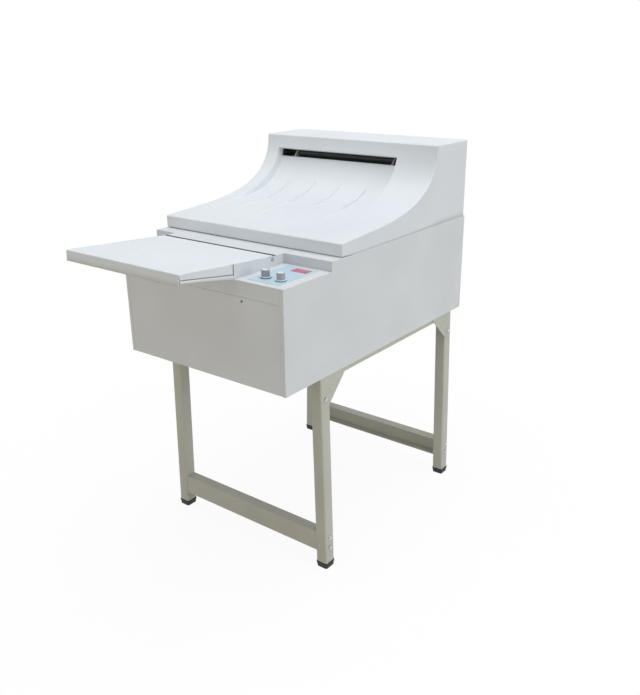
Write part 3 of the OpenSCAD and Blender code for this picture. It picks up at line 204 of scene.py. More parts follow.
def coat(slot, first, second, rough=(0.35, 0.45), drift=6.0, peel=700.0, depth=0.00004, metallic=0.0, gloss=0.0,
         mirror=0.5, worn=None):
    """Two tones, as screen values, that drift into each other, uneven roughness, a fine skin, and paler worn edges.
    Mirror is the strength of its reflections, and gloss the share of a clear coat over it."""
    finish = bpy.data.materials.new(slot)
    finish.use_nodes = True
    tree = finish.node_tree
    shader = tree.nodes["Principled BSDF"]
    where = node(tree, "ShaderNodeTexCoord").outputs["Object"]
    colour = tone(tree, spread(tree, noise(tree, where, drift), 0.0, 1.0), srgb(*first), srgb(*second))
    if worn:
        rounded = node(tree, "ShaderNodeBevel", samples=4, Radius=1.2 * MM).outputs["Normal"]
        plain = node(tree, "ShaderNodeNewGeometry").outputs["Normal"]
        same_way = combine(tree, "DOT_PRODUCT", rounded, plain, "ShaderNodeVectorMath")
        on_edge = spread(tree, same_way, 1.0, 0.0, 0.8, 0.995)
        patchy = spread(tree, noise(tree, where, 60.0, 4.0), 0.0, 0.8, 0.4, 0.6)
        colour = tone(tree, combine(tree, "MULTIPLY", on_edge, patchy), colour, srgb(*worn))
    skin = node(tree, "ShaderNodeBump", Strength=0.5, Distance=depth, Height=noise(tree, where, peel, 2.0))
    uneven = spread(tree, noise(tree, where, drift * 9.0, 5.0), *rough)
    for name, value in (("Base Color", colour), ("Roughness", uneven), ("Normal", skin.outputs["Normal"]),
                        ("Metallic", metallic), ("Specular IOR Level", mirror), ("Coat Weight", gloss),
                        ("Coat Roughness", 0.12)):
        plug(tree, value, shader.inputs[name])
    finishes[slot] = finish


coat("painted_panel", (217, 220, 223), (211, 214, 217), rough=(0.34, 0.46), worn=(236, 238, 240))
coat("lid_shell", (224, 228, 232), (219, 223, 227), rough=(0.36, 0.48), mirror=0.22, worn=(238, 241, 244))
coat("hood_moulding", (224, 228, 232), (219, 223, 227), rough=(0.34, 0.46), mirror=0.22)
coat("stand_paint", (192, 193, 182), (185, 186, 175), rough=(0.42, 0.56), peel=1200.0, depth=0.00006,
     worn=(222, 223, 218))
coat("inner_sheet", (190, 190, 186), (180, 180, 176), rough=(0.45, 0.6))
coat("black_cap", (34, 34, 35), (24, 24, 25), rough=(0.5, 0.7), drift=30.0, peel=1600.0, depth=0.0001)
coat("bright_steel", (205, 206, 208), (186, 188, 190), rough=(0.22, 0.4), drift=40.0, metallic=1.0)
coat("overlay_film", (186, 211, 222), (180, 206, 218), rough=(0.38, 0.5), peel=2500.0, depth=0.00002)
coat("display_red", (212, 92, 124), (196, 70, 104), rough=(0.08, 0.16), drift=30.0, gloss=0.6)
coat("knob_grey", (164, 167, 173), (152, 155, 162), rough=(0.4, 0.55), drift=60.0, peel=2200.0, depth=0.00005)
coat("circuit_board", (38, 104, 66), (28, 84, 52), rough=(0.3, 0.5), drift=60.0)
coat("tank_plastic", (122, 128, 134), (108, 114, 120), rough=(0.45, 0.6))
coat("rack_plastic", (226, 225, 216), (212, 210, 198), rough=(0.4, 0.55))
coat("roller_rubber", (74, 76, 79), (60, 62, 65), rough=(0.55, 0.75), drift=25.0, peel=900.0, depth=0.00008)
coat("belt_rubber", (42, 42, 42), (30, 30, 30), rough=(0.6, 0.8), drift=40.0)
coat("pump_body", (74, 100, 126), (62, 86, 112), rough=(0.4, 0.55), drift=20.0)
print("finishes", sorted(finishes))

# %% [markdown]
# ## The nodes that stay as they are packed
# Folded sheets, racks, tanks, rollers and brackets already have the right shape, so they only take their finish. Real
# sheet metal has no knife edges: Weld joins each node's loose triangles, Decimate dissolves them into whole faces, and
# a narrow Bevel with a limit on the angle rounds the folds, which catches a thin line of light along them.

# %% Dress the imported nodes
def round_edges(made, width):
    """Cut off each edge that turns by more than 40 degrees, in two steps over the given width."""
    bevel = made.modifiers.new("bevel", "BEVEL")
    bevel.width = width
    bevel.segments = 2
    bevel.limit_method = "ANGLE"
    bevel.angle_limit = np.radians(40.0)


def soften(made, width):
    """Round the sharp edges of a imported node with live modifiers, so that its own mesh stays untouched."""
    weld = made.modifiers.new("weld", "WELD")
    weld.merge_threshold = 0.01 * MM
    flat = made.modifiers.new("whole faces", "DECIMATE")
    flat.decimate_type = "DISSOLVE"
    flat.angle_limit = np.radians(1.0)
    round_edges(made, width)
    weighted = made.modifiers.new("flat faces", "WEIGHTED_NORMAL")
    weighted.weight = 100


for part in frame["record"]["subparts"]:
    dressed = frame["nodes"][part["node"]]
    dressed.data.materials.clear()
    dressed.data.materials.append(finishes[part["material_slot"]])

folds = {0.9: ["beam_front", "beam_rear", "side_rails"],
         0.7: ["side_panel_right", "side_panel_left", "front_panel", "control_housing", "top_deck", "drive_cover"],
         0.6: ["feed_tray", "rear_panel", "base_pan", "power_inlet"], 0.4: ["display_window"], 0.2: ["control_overlay"]}
for width, names in folds.items():
    for name in names:
        soften(frame["nodes"][name], width * MM)
    print("rounded by", width, "mm:", *names)

# %% [markdown]
# ## The hood
# The tall hood is one moulding: a low lip at the front, a sweep that rises to a nearly upright face, and a flat top.
# A shallow channel is sunk into the sweep to catch the film, with four ribs in its floor that let the sheet slide, and
# the film comes out of a dark slot at its upper end. It could be carved with booleans, but a moulding is smooth all
# over, so it is made as one skin: the side outline carried across the width, pushed in along its own normal by the
# depth of the channel. Rows of that grid are left out where the slot is.

# %% Side outline of the hood
hood_lo, hood_hi = box_of("hood")
lip_height, top_depth = 35.6 * MM, 186 * MM
low_pull, high_pull = np.array([213, 15]) * MM, np.array([-3, -184]) * MM
lip_top, top_front = hood_lo[2] + lip_height, hood_hi[1] - top_depth
low_end, high_end = np.array([hood_lo[1], lip_top]), np.array([top_front, hood_hi[2]])
handles = np.array([low_end, low_end + low_pull, high_end + high_pull, high_end])


def sweep(t):
    """Cubic in (y, z): (1-t)^3, 3t(1-t)^2, 3t^2(1-t) and t^3 times the four handles."""
    t = np.asarray(t)[:, None]
    return ((1 - t) ** 3 * handles[0] + 3 * t * (1 - t) ** 2 * handles[1] + 3 * t ** 2 * (1 - t) * handles[2]
            + t ** 3 * handles[3])


def left_of(way):
    """Directions turned a quarter to the left: (-b, a) for (a, b)."""
    return np.stack([-way[:, 1], way[:, 0]], axis=1)


def sweep_normal(t):
    """Outward normal of the cubic: its direction of travel turned a quarter to the left."""
    t = np.asarray(t)[:, None]
    way = ((1 - t) ** 2 * (handles[1] - handles[0]) + 2 * t * (1 - t) * (handles[2] - handles[1])
           + t ** 2 * (handles[3] - handles[2]))
    return left_of(way) / np.linalg.norm(way, axis=1)[:, None]


fine = np.linspace(0, 1, 4001)
channel_depth = 20 * MM
slot_top, slot_low = hood_hi[2] - 42 * MM, hood_hi[2] - 69 * MM
t_top = np.interp(slot_top, sweep(fine)[:, 1], fine)
t_low = np.interp(slot_low, (sweep(fine) - channel_depth * sweep_normal(fine))[:, 1], fine)
print("slot between", round(t_low, 3), "and", round(t_top, 3), "of the sweep")

# %% [markdown]
# The rows of the grid follow that outline from the foot of the lip to the foot of the back. At the slot the floor of
# the channel rolls over a small lip, the side walls run on, and the upper edge comes back out to the face with a
# small round. Each row carries the depth of the channel at that height, and the height of the ribs, which start
# faint on the flat part and stand tall where the sweep steepens.

# %% Rows of the hood
def ease(s):
    """Smooth step: 0 before 0, 1 after 1, and 3s^2 - 2s^3 between."""
    s = np.clip(s, 0.0, 1.0)
    return s * s * (3.0 - 2.0 * s)


def join_lines(*lines):
    """Several runs of numbers or points end to end as one array."""
    return np.concatenate([np.asarray(line, float) for line in lines])


def around_corner(start, corner, end, count):
    """Points of a quadratic from start to end that leans on the corner, without its two ends."""
    t = np.linspace(0, 1, count + 2)[1:-1, None]
    return (1 - t) ** 2 * start + 2 * t * (1 - t) * corner + t ** 2 * end


edge = 4 * MM
wall_rows, floor_rows = 14, 70
roll = slice(floor_rows, floor_rows + 3)
throat = slice(roll.stop, roll.stop + 6)
brow = slice(throat.stop, throat.stop + 4)
travel = join_lines(np.linspace(0.008, t_low, floor_rows), t_low + np.array([0.0015, 0.0030, 0.0036]),
                    np.linspace(t_low + 0.008, t_top - 0.002, 5), [t_top, t_top, t_top, t_top + 0.002, t_top + 0.006],
                    np.linspace(t_top + 0.016, 0.993, 14))
sunk_y = sweep(travel)[:, 0] - hood_lo[1]
sunk = 1.2 * MM * ease((sunk_y - 85 * MM) / (70 * MM)) + 18.8 * MM * ease((sunk_y - 196 * MM) / (195 * MM))
rolled_down = np.array([0.4, 1.4, 3.2]) * MM
sunk[roll] = channel_depth + rolled_down
sunk[throat] = channel_depth + rolled_down[-1]
sunk[brow] = np.array([3.0, 1.6, 0.5, 0.0]) * MM
sunk[brow.stop:] = 0.0
print("rows on the sweep", len(travel), "deepest", np.round(sunk.max() / MM, 1), "mm")

# %% Outline of the hood, row by row
foot_gap = 1.8 * MM
front_z = np.linspace(hood_lo[2] + foot_gap, lip_top - edge, wall_rows)
back_z = np.linspace(hood_hi[2] - edge, hood_lo[2], wall_rows)
front = np.stack([np.full(wall_rows, hood_lo[1]), front_z], axis=1)
back = np.stack([np.full(wall_rows, hood_hi[1]), back_z], axis=1)
flat_y = join_lines([top_front + edge], np.linspace(top_front + 20 * MM, hood_hi[1] - 34 * MM, 8),
                    np.linspace(hood_hi[1] - 30 * MM, hood_hi[1] - edge, 10))
flat = np.stack([flat_y, np.full(len(flat_y), hood_hi[2])], axis=1)
curve = sweep(travel)
runs = [front, around_corner(front[-1], handles[0], curve[0], 5), curve,
        around_corner(curve[-1], handles[3], flat[0], 5), flat,
        around_corner(flat[-1], hood_hi[1:], back[0], 5), back]
outline = join_lines(*runs)
starts = np.cumsum([0] + [len(run) for run in runs])
normal = left_of(np.gradient(outline, axis=0))
normal[starts[2]:starts[3]] = sweep_normal(travel)
normal[starts[0]:starts[1]] = (-1, 0)
normal[starts[4]:starts[5]] = (0, 1)
normal[starts[6]:] = (1, 0)
normal /= np.linalg.norm(normal, axis=1)[:, None]
depth_row = np.zeros(len(outline))
depth_row[starts[2]:starts[3]] = sunk
tall_from, tall_to, faint_from = 0.43, 0.67, 0.2
tall = 4.4 * ease((travel - tall_from) / 0.07) * (1 - ease((travel - tall_to) / 0.06))
faint = 0.8 * ease((travel - faint_from) / 0.08) * (1 - ease((travel - tall_from) / 0.07))
rib_row = np.zeros(len(outline))
rib_row[starts[2]:starts[3]] = (tall + faint) * MM
print("rows", len(outline))

# %% [markdown]
# The columns run across the hood. They crowd together where the shape turns: at the two round side edges, down the
# walls of the channel, and over each rib.

# %% Columns of the hood
def rounded_ends(lo, hi, lines, radius):
    """Columns from lo to hi with a quarter circle at each end, and how far each sinks there: radius * (1 - cos a)."""
    quarter = np.radians(np.linspace(0, 90, 7))
    out, dip = radius * (1 - np.sin(quarter)), radius * (1 - np.cos(quarter))
    return join_lines(lo + out[::-1], lines, hi - out), join_lines(dip[::-1], np.zeros(len(lines)), dip)


side = 2.2 * MM
slot_x = hood_lo[0] + np.array([46, 506]) * MM
wall = 9 * MM
rib_half, rib_flank = 3.4 * MM, 1.8 * MM
lid_lo, lid_hi = box_of("feed_lid")
ribs = (lid_lo[0] + lid_hi[0]) / 2 + np.array([-151, -53, 45, 143]) * MM
left_x, right_x = hood_lo[0] + side, hood_hi[0] - side
lines = join_lines(np.linspace(left_x + 4 * MM, slot_x[0] - 2 * MM, 9),
                   slot_x[0] + np.linspace(0, wall, 11), np.linspace(slot_x[0] + 14 * MM, slot_x[1] - 14 * MM, 36),
                   (ribs[:, None] + np.linspace(-3.8, 3.8, 15) * MM).ravel(), slot_x[1] - np.linspace(wall, 0, 11),
                   np.linspace(slot_x[1] + 2 * MM, right_x - 34 * MM, 9),
                   np.linspace(right_x - 28 * MM, right_x - 4 * MM, 7))
lines = np.sort(lines)
lines = lines[join_lines([1.0], np.diff(lines)) > 0.2 * MM]
across, shrink = rounded_ends(hood_lo[0], hood_hi[0], lines, side)
in_channel = ease((across - slot_x[0]) / wall) * ease((slot_x[1] - across) / wall)
on_rib = ease((rib_half - np.abs(across[:, None] - ribs).min(axis=1)) / rib_flank)
print("columns", len(across), "ribs at", np.round(ribs, 3).tolist())

# %% [markdown]
# The rear corners of the moulding are round in plan, more on the left than on the right. A square patch at the corner
# is pulled onto a quarter disc: each point keeps its direction from the patch's inner corner, and its distance
# becomes the larger of its two offsets.

# %% Skin of the hood
def round_in_plan(points, x_edge, y_edge, radius):
    """Pull the corner at (x_edge, y_edge) onto a circle of the given radius, square rings becoming round ones."""
    way = np.sign(x_edge)
    a = np.clip((way * points[..., 0] - (way * x_edge - radius)) / radius, 0, None)
    b = np.clip((points[..., 1] - (y_edge - radius)) / radius, 0, None)
    pull = np.where((a > 0) & (b > 0), np.maximum(a, b) / np.maximum(np.hypot(a, b), 1e-9), 1.0)
    moved = points.copy()
    moved[..., 0] += np.where(a > 0, way * radius * a * (pull - 1), 0)
    moved[..., 1] += np.where(b > 0, radius * b * (pull - 1), 0)
    return moved


def at_x(plane, x):
    """A grid of (y, z) points set at x, one number for all or one for each column or point."""
    return np.concatenate([np.full((*plane.shape[:2], 1), x), plane], axis=-1)


inset = (depth_row[:, None] * in_channel - rib_row[:, None] * on_rib + shrink)[..., None] * normal[:, None, :]
plane = outline[:, None, :] - inset
skin = at_x(plane, across[:, None])
rim = outline - side * normal
rise = np.linspace(0, 1, wall_rows)[:, None]
crest = rim[starts[1] - 1:starts[6] + 1]
foot_line = hood_lo[2] + foot_gap * (1 - ease((crest[:, 0] - hood_lo[1]) / (60 * MM)))
cheek = np.stack([np.broadcast_to(crest[:, 0], (wall_rows, len(crest))),
                  foot_line + rise * (crest[:, 1] - foot_line)], axis=-1)


def bend_corners(points):
    """Both rear corners, 30 mm on the left and 12 mm on the right."""
    return round_in_plan(round_in_plan(points, hood_lo[0], hood_hi[1], 30 * MM), hood_hi[0], hood_hi[1], 12 * MM)


def give_wall(made, thickness):
    """Make a closed wall of a skin, grown inwards from it by the thickness."""
    wall_of_skin = made.modifiers.new("wall", "SOLIDIFY")
    wall_of_skin.thickness = thickness
    wall_of_skin.offset = -1


points, quads = grid(bend_corners(skin))
row, column = np.divmod(quads[:, 0], skin.shape[1])
gap = ((row >= starts[2] + throat.start - 1) & (row < starts[2] + throat.stop - 1)
       & (across[column] > slot_x[0] + 0.75 * wall) & (across[column] < slot_x[1] - 0.9 * wall))
right_cheek = grid(bend_corners(at_x(cheek, hood_hi[0])))
left_cheek = grid(bend_corners(at_x(cheek, hood_lo[0])), flip=True)
hood_shell = piece("hood_shell", [(points, quads[~gap]), right_cheek, left_cheek], "hood", "hood_moulding", ["hood"],
                   outward=False)
give_wall(hood_shell, 3 * MM)

# %% [markdown]
# ## The feed lid
# The lid keeps light off the film while it is drawn in. It is one sheet: a flat plate that falls gently toward the
# rear, folded down along the front and along both sides, and rolled into a barrel round the hinge pins. As with the
# hood, one outline in (y, z) is carried across the width, its two ends are folded over by a quarter circle, and the
# side flanges hang from that fold.

# %% Outline of the lid
pin_lo, pin_hi = box_of("lid_hinge_pins")
pin = (pin_lo[1:] + pin_hi[1:]) / 2
slope = 0.0735
fall = np.array([1.0, -slope]) / np.hypot(1.0, slope)
over = np.array([-fall[1], fall[0]])
fold = 2.4 * MM
barrel = 9.6 * MM
roll_length, behind_pin = 13.4 * MM, 10.2 * MM
plate_end = pin + barrel * over - roll_length * fall
plate_front = pin + barrel * over - (lid_hi[1] - lid_lo[1] - behind_pin) * fall
lip_depth = 28.0 * MM
flange_foot = plate_front - lip_depth * over
flange_start, flange_slope, flange_rear = pin + np.array([-320, 18.9]) * MM, 0.151, pin[0] - 145.1 * MM


def flange_bottom(y):
    """Lower edge of a side flange: a straight line from its start that falls by its slope toward the rear."""
    return flange_start[1] - flange_slope * (y - flange_start[0])


reach_up = (flange_bottom(flange_foot[0]) - flange_foot[1]) / over[1]
front_rise = np.linspace(reach_up, lip_depth - fold, 8)
front_face = flange_foot + join_lines([0.0], front_rise)[:, None] * over
flange_end = plate_front + (flange_rear - plate_front[0]) / fall[0] * fall
flange_length = np.linalg.norm(flange_end - plate_front)
plate_length = np.linalg.norm(plate_end - plate_front)
flange_rows = 24
plate_run = join_lines(np.linspace(fold, flange_length, flange_rows),
                       np.linspace(flange_length + 6 * MM, plate_length, 16))
plate_line = plate_front + plate_run[:, None] * fall
start_angle = np.arctan2(over[1], over[0])
barrel_turn = 235
rolled = start_angle - np.radians(np.linspace(0, barrel_turn, 40))
roll_line = pin + barrel * np.stack([np.cos(rolled), np.sin(rolled)], axis=1)
lid_runs = [front_face, around_corner(front_face[-1], plate_front, plate_line[0], 5), plate_line,
            plate_end + np.array([[0.35], [0.7]]) * (roll_line[0] - plate_end), roll_line]
lid_outline = join_lines(*lid_runs)
lid_starts = np.cumsum([0] + [len(run) for run in lid_runs])
lid_normal = left_of(np.gradient(lid_outline, axis=0))
lid_normal[:lid_starts[1]] = -fall
lid_normal[lid_starts[2]:lid_starts[4]] = over
lid_normal[lid_starts[4]:] = roll_line - pin
lid_normal /= np.linalg.norm(lid_normal, axis=1)[:, None]
print("lid rows", len(lid_outline), "plate", np.round(plate_length / MM, 1), "mm long")

# %% Skin of the lid
lid_lines = np.linspace(lid_lo[0] + 8 * MM, lid_hi[0] - 8 * MM, 24)
lid_across, lid_shrink = rounded_ends(lid_lo[0], lid_hi[0], lid_lines, fold)
lid_plane = lid_outline[:, None, :] - lid_shrink[:, None] * lid_normal[:, None, :]
barrel_short = 2.0 * MM
narrow = np.ones(len(lid_outline))
narrow[lid_starts[3]:] = 1 - barrel_short / (lid_hi[0] - lid_lo[0]) * 2
middle = (lid_lo[0] + lid_hi[0]) / 2
lid_x = middle + (lid_across[None, :] - middle) * narrow[:, None]
lid_skin = at_x(lid_plane, lid_x[..., None])
lid_rim = (lid_outline - fold * lid_normal)[lid_starts[1] - 1:lid_starts[2] + flange_rows]
hang = np.linspace(0, 1, 8)[:, None]
lowest = np.stack([lid_rim[:, 0], flange_bottom(lid_rim[:, 0])], axis=1)
lowest[0] = (lid_outline - fold * lid_normal)[1]
flange = lowest + hang[..., None] * (lid_rim - lowest)
right_flange = grid(at_x(flange, lid_hi[0]))
left_flange = grid(at_x(flange, lid_lo[0]), flip=True)
lid_sheet = piece("lid_sheet", [grid(lid_skin), right_flange, left_flange], "feed_lid", "lid_shell", ["feed_lid"],
                  outward=False)
give_wall(lid_sheet, 1.6 * MM)

# %% [markdown]
# A strip of dark rubber colour lies along the front edge of the deck, where the rolled barrel of the lid turns against
# it: it is painted shade, standing for the shadow in the gap there. The tray under the lid has its side edges folded
# over into a hem, which shows as a pale band below the lid. Each is a small rounded section carried along a straight
# line.

# %% Outlines carried along a line
def cap(loop, flip=False):
    """One many-sided face that closes a loop of points."""
    face = np.arange(len(loop))[None]
    return loop, face[:, ::-1] if flip else face


def rounded_outline(lo, hi, radius, steps=6):
    """Outline of a rectangle from lo to hi with quarter circles, centre + radius * (cos a, sin a), as corners."""
    lo, hi = np.asarray(lo, float), np.asarray(hi, float)
    a = np.radians(np.linspace(0, 90, steps))
    centres = np.array([[hi[0] - radius, hi[1] - radius], [lo[0] + radius, hi[1] - radius],
                        [lo[0] + radius, lo[1] + radius], [hi[0] - radius, lo[1] + radius]])
    turns = a + np.radians([0, 90, 180, 270])[:, None]
    return (centres[:, None] + radius * np.stack([np.cos(turns), np.sin(turns)], axis=-1)).reshape(-1, 2)


def carried(section, path, side, up):
    """A closed outline (a, b) carried along a path: path + a * side + b * up, with both ends closed."""
    path, section = np.asarray(path, float), np.asarray(section, float)
    rows = path[:, None, :] + section[None, :, :1] * np.asarray(side) + section[None, :, 1:] * np.asarray(up)
    return [grid(rows, around=True), cap(rows[0], flip=True), cap(rows[-1])]

# %% Painted shade strip and tray hems
deck_lo, deck_hi = box_of("top_deck")
# a dark strip along the deck's front edge: painted shade for the gap under the lid's barrel
strip = rounded_outline((-0.8 * MM, -1.6 * MM), (6.0 * MM, 0.6 * MM), 0.5 * MM, 4)
ends = [[x, deck_lo[1], deck_hi[2]] for x in (lid_lo[0] + 1.5 * MM, lid_hi[0] - 1.5 * MM)]
piece("deck_shade_strip", carried(strip, ends, (0, 1, 0), (0, 0, 1)), "cabinet", "roller_rubber")
tray_lo, tray_hi = box_of("feed_tray")
hem = rounded_outline((-2.3 * MM, -4.2 * MM), (2.3 * MM, 2.4 * MM), 1.6 * MM)
hem_front, hem_rear = pin + np.array([-316.5, 14.2]) * MM, pin + np.array([-147.5, -11.4]) * MM
hems = []
for x in (tray_lo[0] + 1.6 * MM, tray_hi[0] - 1.6 * MM):
    hems += carried(hem, [[x, *hem_front], [x, *hem_rear]], (1, 0, 0), (0, 0.15, 1))
piece("tray_hems", hems, "cabinet", "lid_shell")

# %% [markdown]
# ## The stand
# Four legs of square steel tube spread a little toward the floor. A tube is rolled from strip, so its corners are
# round, and a triangular gusset of flat plate is welded to its top. A leg is the tube's rounded outline carried from
# the cabinet down to the foot, and the gusset is a triangle given the thickness of the plate. Both lean together:
# every point moves out by its depth below the cabinet times the tangent of the lean.

# %% Legs
splay = 15 * MM
stand_top = box_of("side_rails")[1][2]
lean = np.arctan(splay / stand_top)
tube = np.array([35, 37]) * MM
section = rounded_outline((0, 0), tube, 4.5 * MM, 8)
gusset_plate = 3 * MM


def leaned(outer_x, way, below):
    """Where the outer face of a leg lies at a depth below the cabinet: outer_x + way * below * tan(lean)."""
    return outer_x + way * below * np.tan(lean)


sides_x = {"left": (box_of("side_panel_left")[0][0] + 0.5 * MM, -1),
           "right": (box_of("side_panel_right")[1][0] - 0.5 * MM, 1)}
leg_places = {}
for row_name in ("front", "rear"):
    for side_name, (outer_x, way) in sides_x.items():
        leg = f"leg_{row_name}_{side_name}"
        leg_lo, leg_hi = box_of(leg)
        y0 = leg_lo[1] if row_name == "front" else leg_hi[1] - tube[1]
        heights = np.linspace(leg_hi[2], leg_lo[2], 12)
        path = np.stack([leaned(outer_x, way, leg_hi[2] - heights), np.full(len(heights), y0), heights], axis=1)
        ahead = 1 if row_name == "front" else -1
        weld = (y0 + tube[1] if ahead > 0 else y0) - ahead * 6 * MM
        tri_y = weld + ahead * np.array([0, 86, 86, 6, 0]) * MM
        tri_z = leg_hi[2] - np.array([0, 0, 1.5, 80, 80]) * MM
        plate = np.stack([leaned(outer_x, way, leg_hi[2] - tri_z), tri_y, tri_z], axis=1)
        both = np.stack([plate, plate - np.array([way * gusset_plate, 0, 0])])
        gusset = [grid(both, around=True), cap(both[0], flip=True), cap(both[1])]
        leg_tube = carried(section, path, (-way, 0, 0), (0, 1, 0))
        round_edges(piece(leg + "_tube", leg_tube + gusset, "cabinet", "stand_paint", [leg]), 0.7 * MM)
        leg_places[row_name, side_name] = outer_x, way, y0, leg_hi[2]
print("lean", round(np.degrees(lean), 2), "degrees")

# %% [markdown]
# Each tube stands in a moulded rubber cap. The cap narrows toward the floor, has a round lower edge, and a groove
# where the mould closed. It is a stack of rounded rectangles, each with its own height and its own margin.

# %% Feet
cap_lip = 1.5 * MM
levels = np.array([(0.0, 3.4), (0.5, 2.5), (1.6, 1.9), (5.4, 1.5), (6.0, 2.0), (7.0, 2.0), (7.6, 1.3), (15.5, 0.2),
                   (17.2, 0.0), (17.8, 0.3), (18.0, 1.0)]) * MM
feet = []
for outer_x, way, y0, top_z in leg_places.values():
    shapes = []
    for height, margin in levels:
        out = leaned(outer_x, way, top_z - height)
        left_x, right_x = sorted((out + way * (cap_lip - margin), out - way * (tube[0] + cap_lip - margin)))
        front_y, rear_y = y0 - cap_lip + margin, y0 + tube[1] + cap_lip - margin
        flat_loop = rounded_outline((left_x, front_y), (right_x, rear_y), 5 * MM, 8)
        shapes.append(np.concatenate([flat_loop, np.full((len(flat_loop), 1), height)], axis=1))
    shapes = np.array(shapes)
    feet += [grid(shapes, around=True), cap(shapes[0], flip=True), cap(shapes[-1])]
piece("rubber_feet", feet, "cabinet", "black_cap", ["foot_caps"])

# %% [markdown]
# Bolts hold each beam to its legs and the gussets to the cabinet. A bolt here is a washer, a hexagon head with a
# chamfered top, a shank, and a nut behind. All are lathe shapes; for the head and the nut the radius is cut back to
# the flats of a hexagon.

# %% Lathe shapes
def turned(profile, centre, along=(0, 0, 1), sides=48, share=None):
    """Radius and height pairs carried round an axis: centre + height * along + radius * (cos a, sin a) across it."""
    profile = np.asarray(profile, float)
    along = np.asarray(along, float) / np.linalg.norm(along)
    first = np.cross(along, (0.0, 1.0, 0.0) if abs(along[1]) < 0.9 else (1.0, 0.0, 0.0))
    first /= np.linalg.norm(first)
    second = np.cross(along, first)
    a = np.linspace(0, 2 * np.pi, sides, endpoint=False)
    radius = profile[:, :1] * (np.ones((len(profile), sides)) if share is None else share(a, profile))
    points = (np.asarray(centre, float) + profile[:, 1, None, None] * along
              + radius[..., None] * (np.cos(a)[:, None] * first + np.sin(a)[:, None] * second))
    return grid(points, around=True)


def hexagon(a, profile):
    """Share of the corner radius on the flats of a hexagon: cos 30 over cos of the angle from the nearest flat."""
    share = np.cos(np.pi / 6) / np.cos((a + np.pi / 6) % (np.pi / 3) - np.pi / 6)
    return np.broadcast_to(share, (len(profile), len(a)))

# %% Bolts
washer = np.array([(0, 0), (6.9, 0), (7.2, 0.3), (7.2, 0.9), (6.9, 1.2), (0, 1.2)]) * MM
head = np.array([(0, 1.1), (6.1, 1.1), (6.1, 3.3), (5.3, 3.8), (3.0, 4.0), (0, 4.0)]) * MM
bolts = []
for (row_name, _), (outer_x, way, y0, top_z) in leg_places.items():
    low, high = (corner[2] for corner in box_of("beam_" + row_name))
    along = np.array([way * np.cos(lean), 0, np.sin(lean)])
    lower, upper, gusset_z = low + 0.24 * (high - low), low + 0.76 * (high - low), top_z - 62 * MM
    for z, grip in ((lower, 37), (upper, 37), (gusset_z, 35)):
        below = top_z - z
        seat = np.array([outer_x + way * below * np.sin(lean), y0 + tube[1] / 2, top_z - below * np.cos(lean)])
        shank = np.array([(0, 0.2), (4, 0.2), (4, -grip - 5.5), (3.4, -grip - 6), (0, -grip - 6)]) * MM
        nut = np.array([(0, -grip), (7.0, -grip), (7.0, -grip - 4.5), (6.2, -grip - 5), (0, -grip - 5)]) * MM
        bolts += [turned(washer, seat, along), turned(head, seat, along, share=hexagon), turned(shank, seat, along, 24),
                  turned(nut, seat, along, share=hexagon)]
piece("bolts", bolts, "cabinet", "bright_steel", ["stand_bolts"], crisp=25)

# %% [markdown]
# ## The control knobs
# Each knob sets a number, development time or bath temperature. On the real machine a spindle carries a white skirt,
# a grey grip with flutes for the fingers, and a pale cap with a thin pointer. A black ring under the skirt is painted
# shade, standing for the shadow beneath it. A knob is a lathe shape, so each piece is a profile of radius and height
# turned about the spindle. The flutes come from shrinking the radius by a raised cosine of 24 times the angle, only on
# the rows of the grip.

# %% Knobs
overlay_lo, overlay_hi = box_of("control_overlay")
coat("knob_white", (226, 228, 232), (216, 219, 224), rough=(0.35, 0.5), drift=60.0, peel=2200.0, depth=0.00004)


def flutes(a, profile):
    """Radius shrunk by up to 4 percent in 24 grooves, on rows whose radius lies between 9.9 and 11.1 mm."""
    on_grip = (profile[:, :1] > 9.9 * MM) & (profile[:, :1] < 11.1 * MM) & (profile[:, 1:] > 4.5 * MM)
    return 1 - on_grip * 0.04 * ((1 + np.cos(24 * a)) / 2) ** 2


def ring(inner, outer, low, high, soft):
    """Profile of a flat ring with its outer edges softened, closed on itself."""
    return np.array([(inner, low), (outer - soft, low), (outer, low + soft), (outer, high - soft), (outer - soft, high),
                     (inner, high), (inner, low)]) * MM


knob_feet = []
for knob in ("time_knob", "temperature_knob"):
    knob_lo, knob_hi = box_of(knob)
    foot = np.array([*(knob_lo + knob_hi)[:2] / 2, overlay_hi[2]])
    knob_feet.append(foot)
    spindle_foot = (knob_lo[2] - overlay_hi[2]) / MM
    climb = np.linspace(4.7, 19.0, 8)
    grip = join_lines([(0, spindle_foot), (2.6, spindle_foot), (3, spindle_foot + 0.4), (3, 3.7), (11.2, 3.7),
                       (11.2, 4.3)], np.stack([11.0 - (climb - 4.7) * 0.06, climb], axis=1),
                      [(9.8, 20.0), (9.0, 20.3), (8.7, 19.9), (0, 19.9)]) * MM
    piece(knob + "_grip", [turned(grip, foot, sides=192, share=flutes)], knob, "knob_grey", [knob])
    skirt = turned(ring(3.2, 13.2, 1.2, 3.9, 0.6), foot, sides=96)
    piece(knob + "_skirt", [skirt], knob, "knob_grey", finish="knob_white")
    # black ring under the skirt: painted shade for the shadow beneath it
    shade_ring = turned(ring(3.2, 14.0, 0.45, 1.4, 0.3), foot, sides=96)
    piece(knob + "_shade_ring", [shade_ring], knob, "black_cap")
    dome = np.array([(0, 19.8), (8.5, 19.8), (8.5, 20.5), (8.1, 20.9), (6.5, 21.05), (0, 21.1)]) * MM
    piece(knob + "_cap", [turned(dome, foot, sides=96)], knob, "knob_grey", finish="knob_white")
    mark = rounded_outline((-0.45 * MM, 20.6 * MM), (0.45 * MM, 21.25 * MM), 0.15 * MM, 4)
    mark_line = foot + np.array([[0, 1.5, 0], [0, 7.6, 0]]) * MM
    piece(knob + "_pointer", carried(mark, mark_line, (1, 0, 0), (0, 0, 1)), knob, "black_cap")
    print(knob, "stands", np.round((foot - overlay_lo) / MM, 1).tolist(), "mm from the overlay's corner")

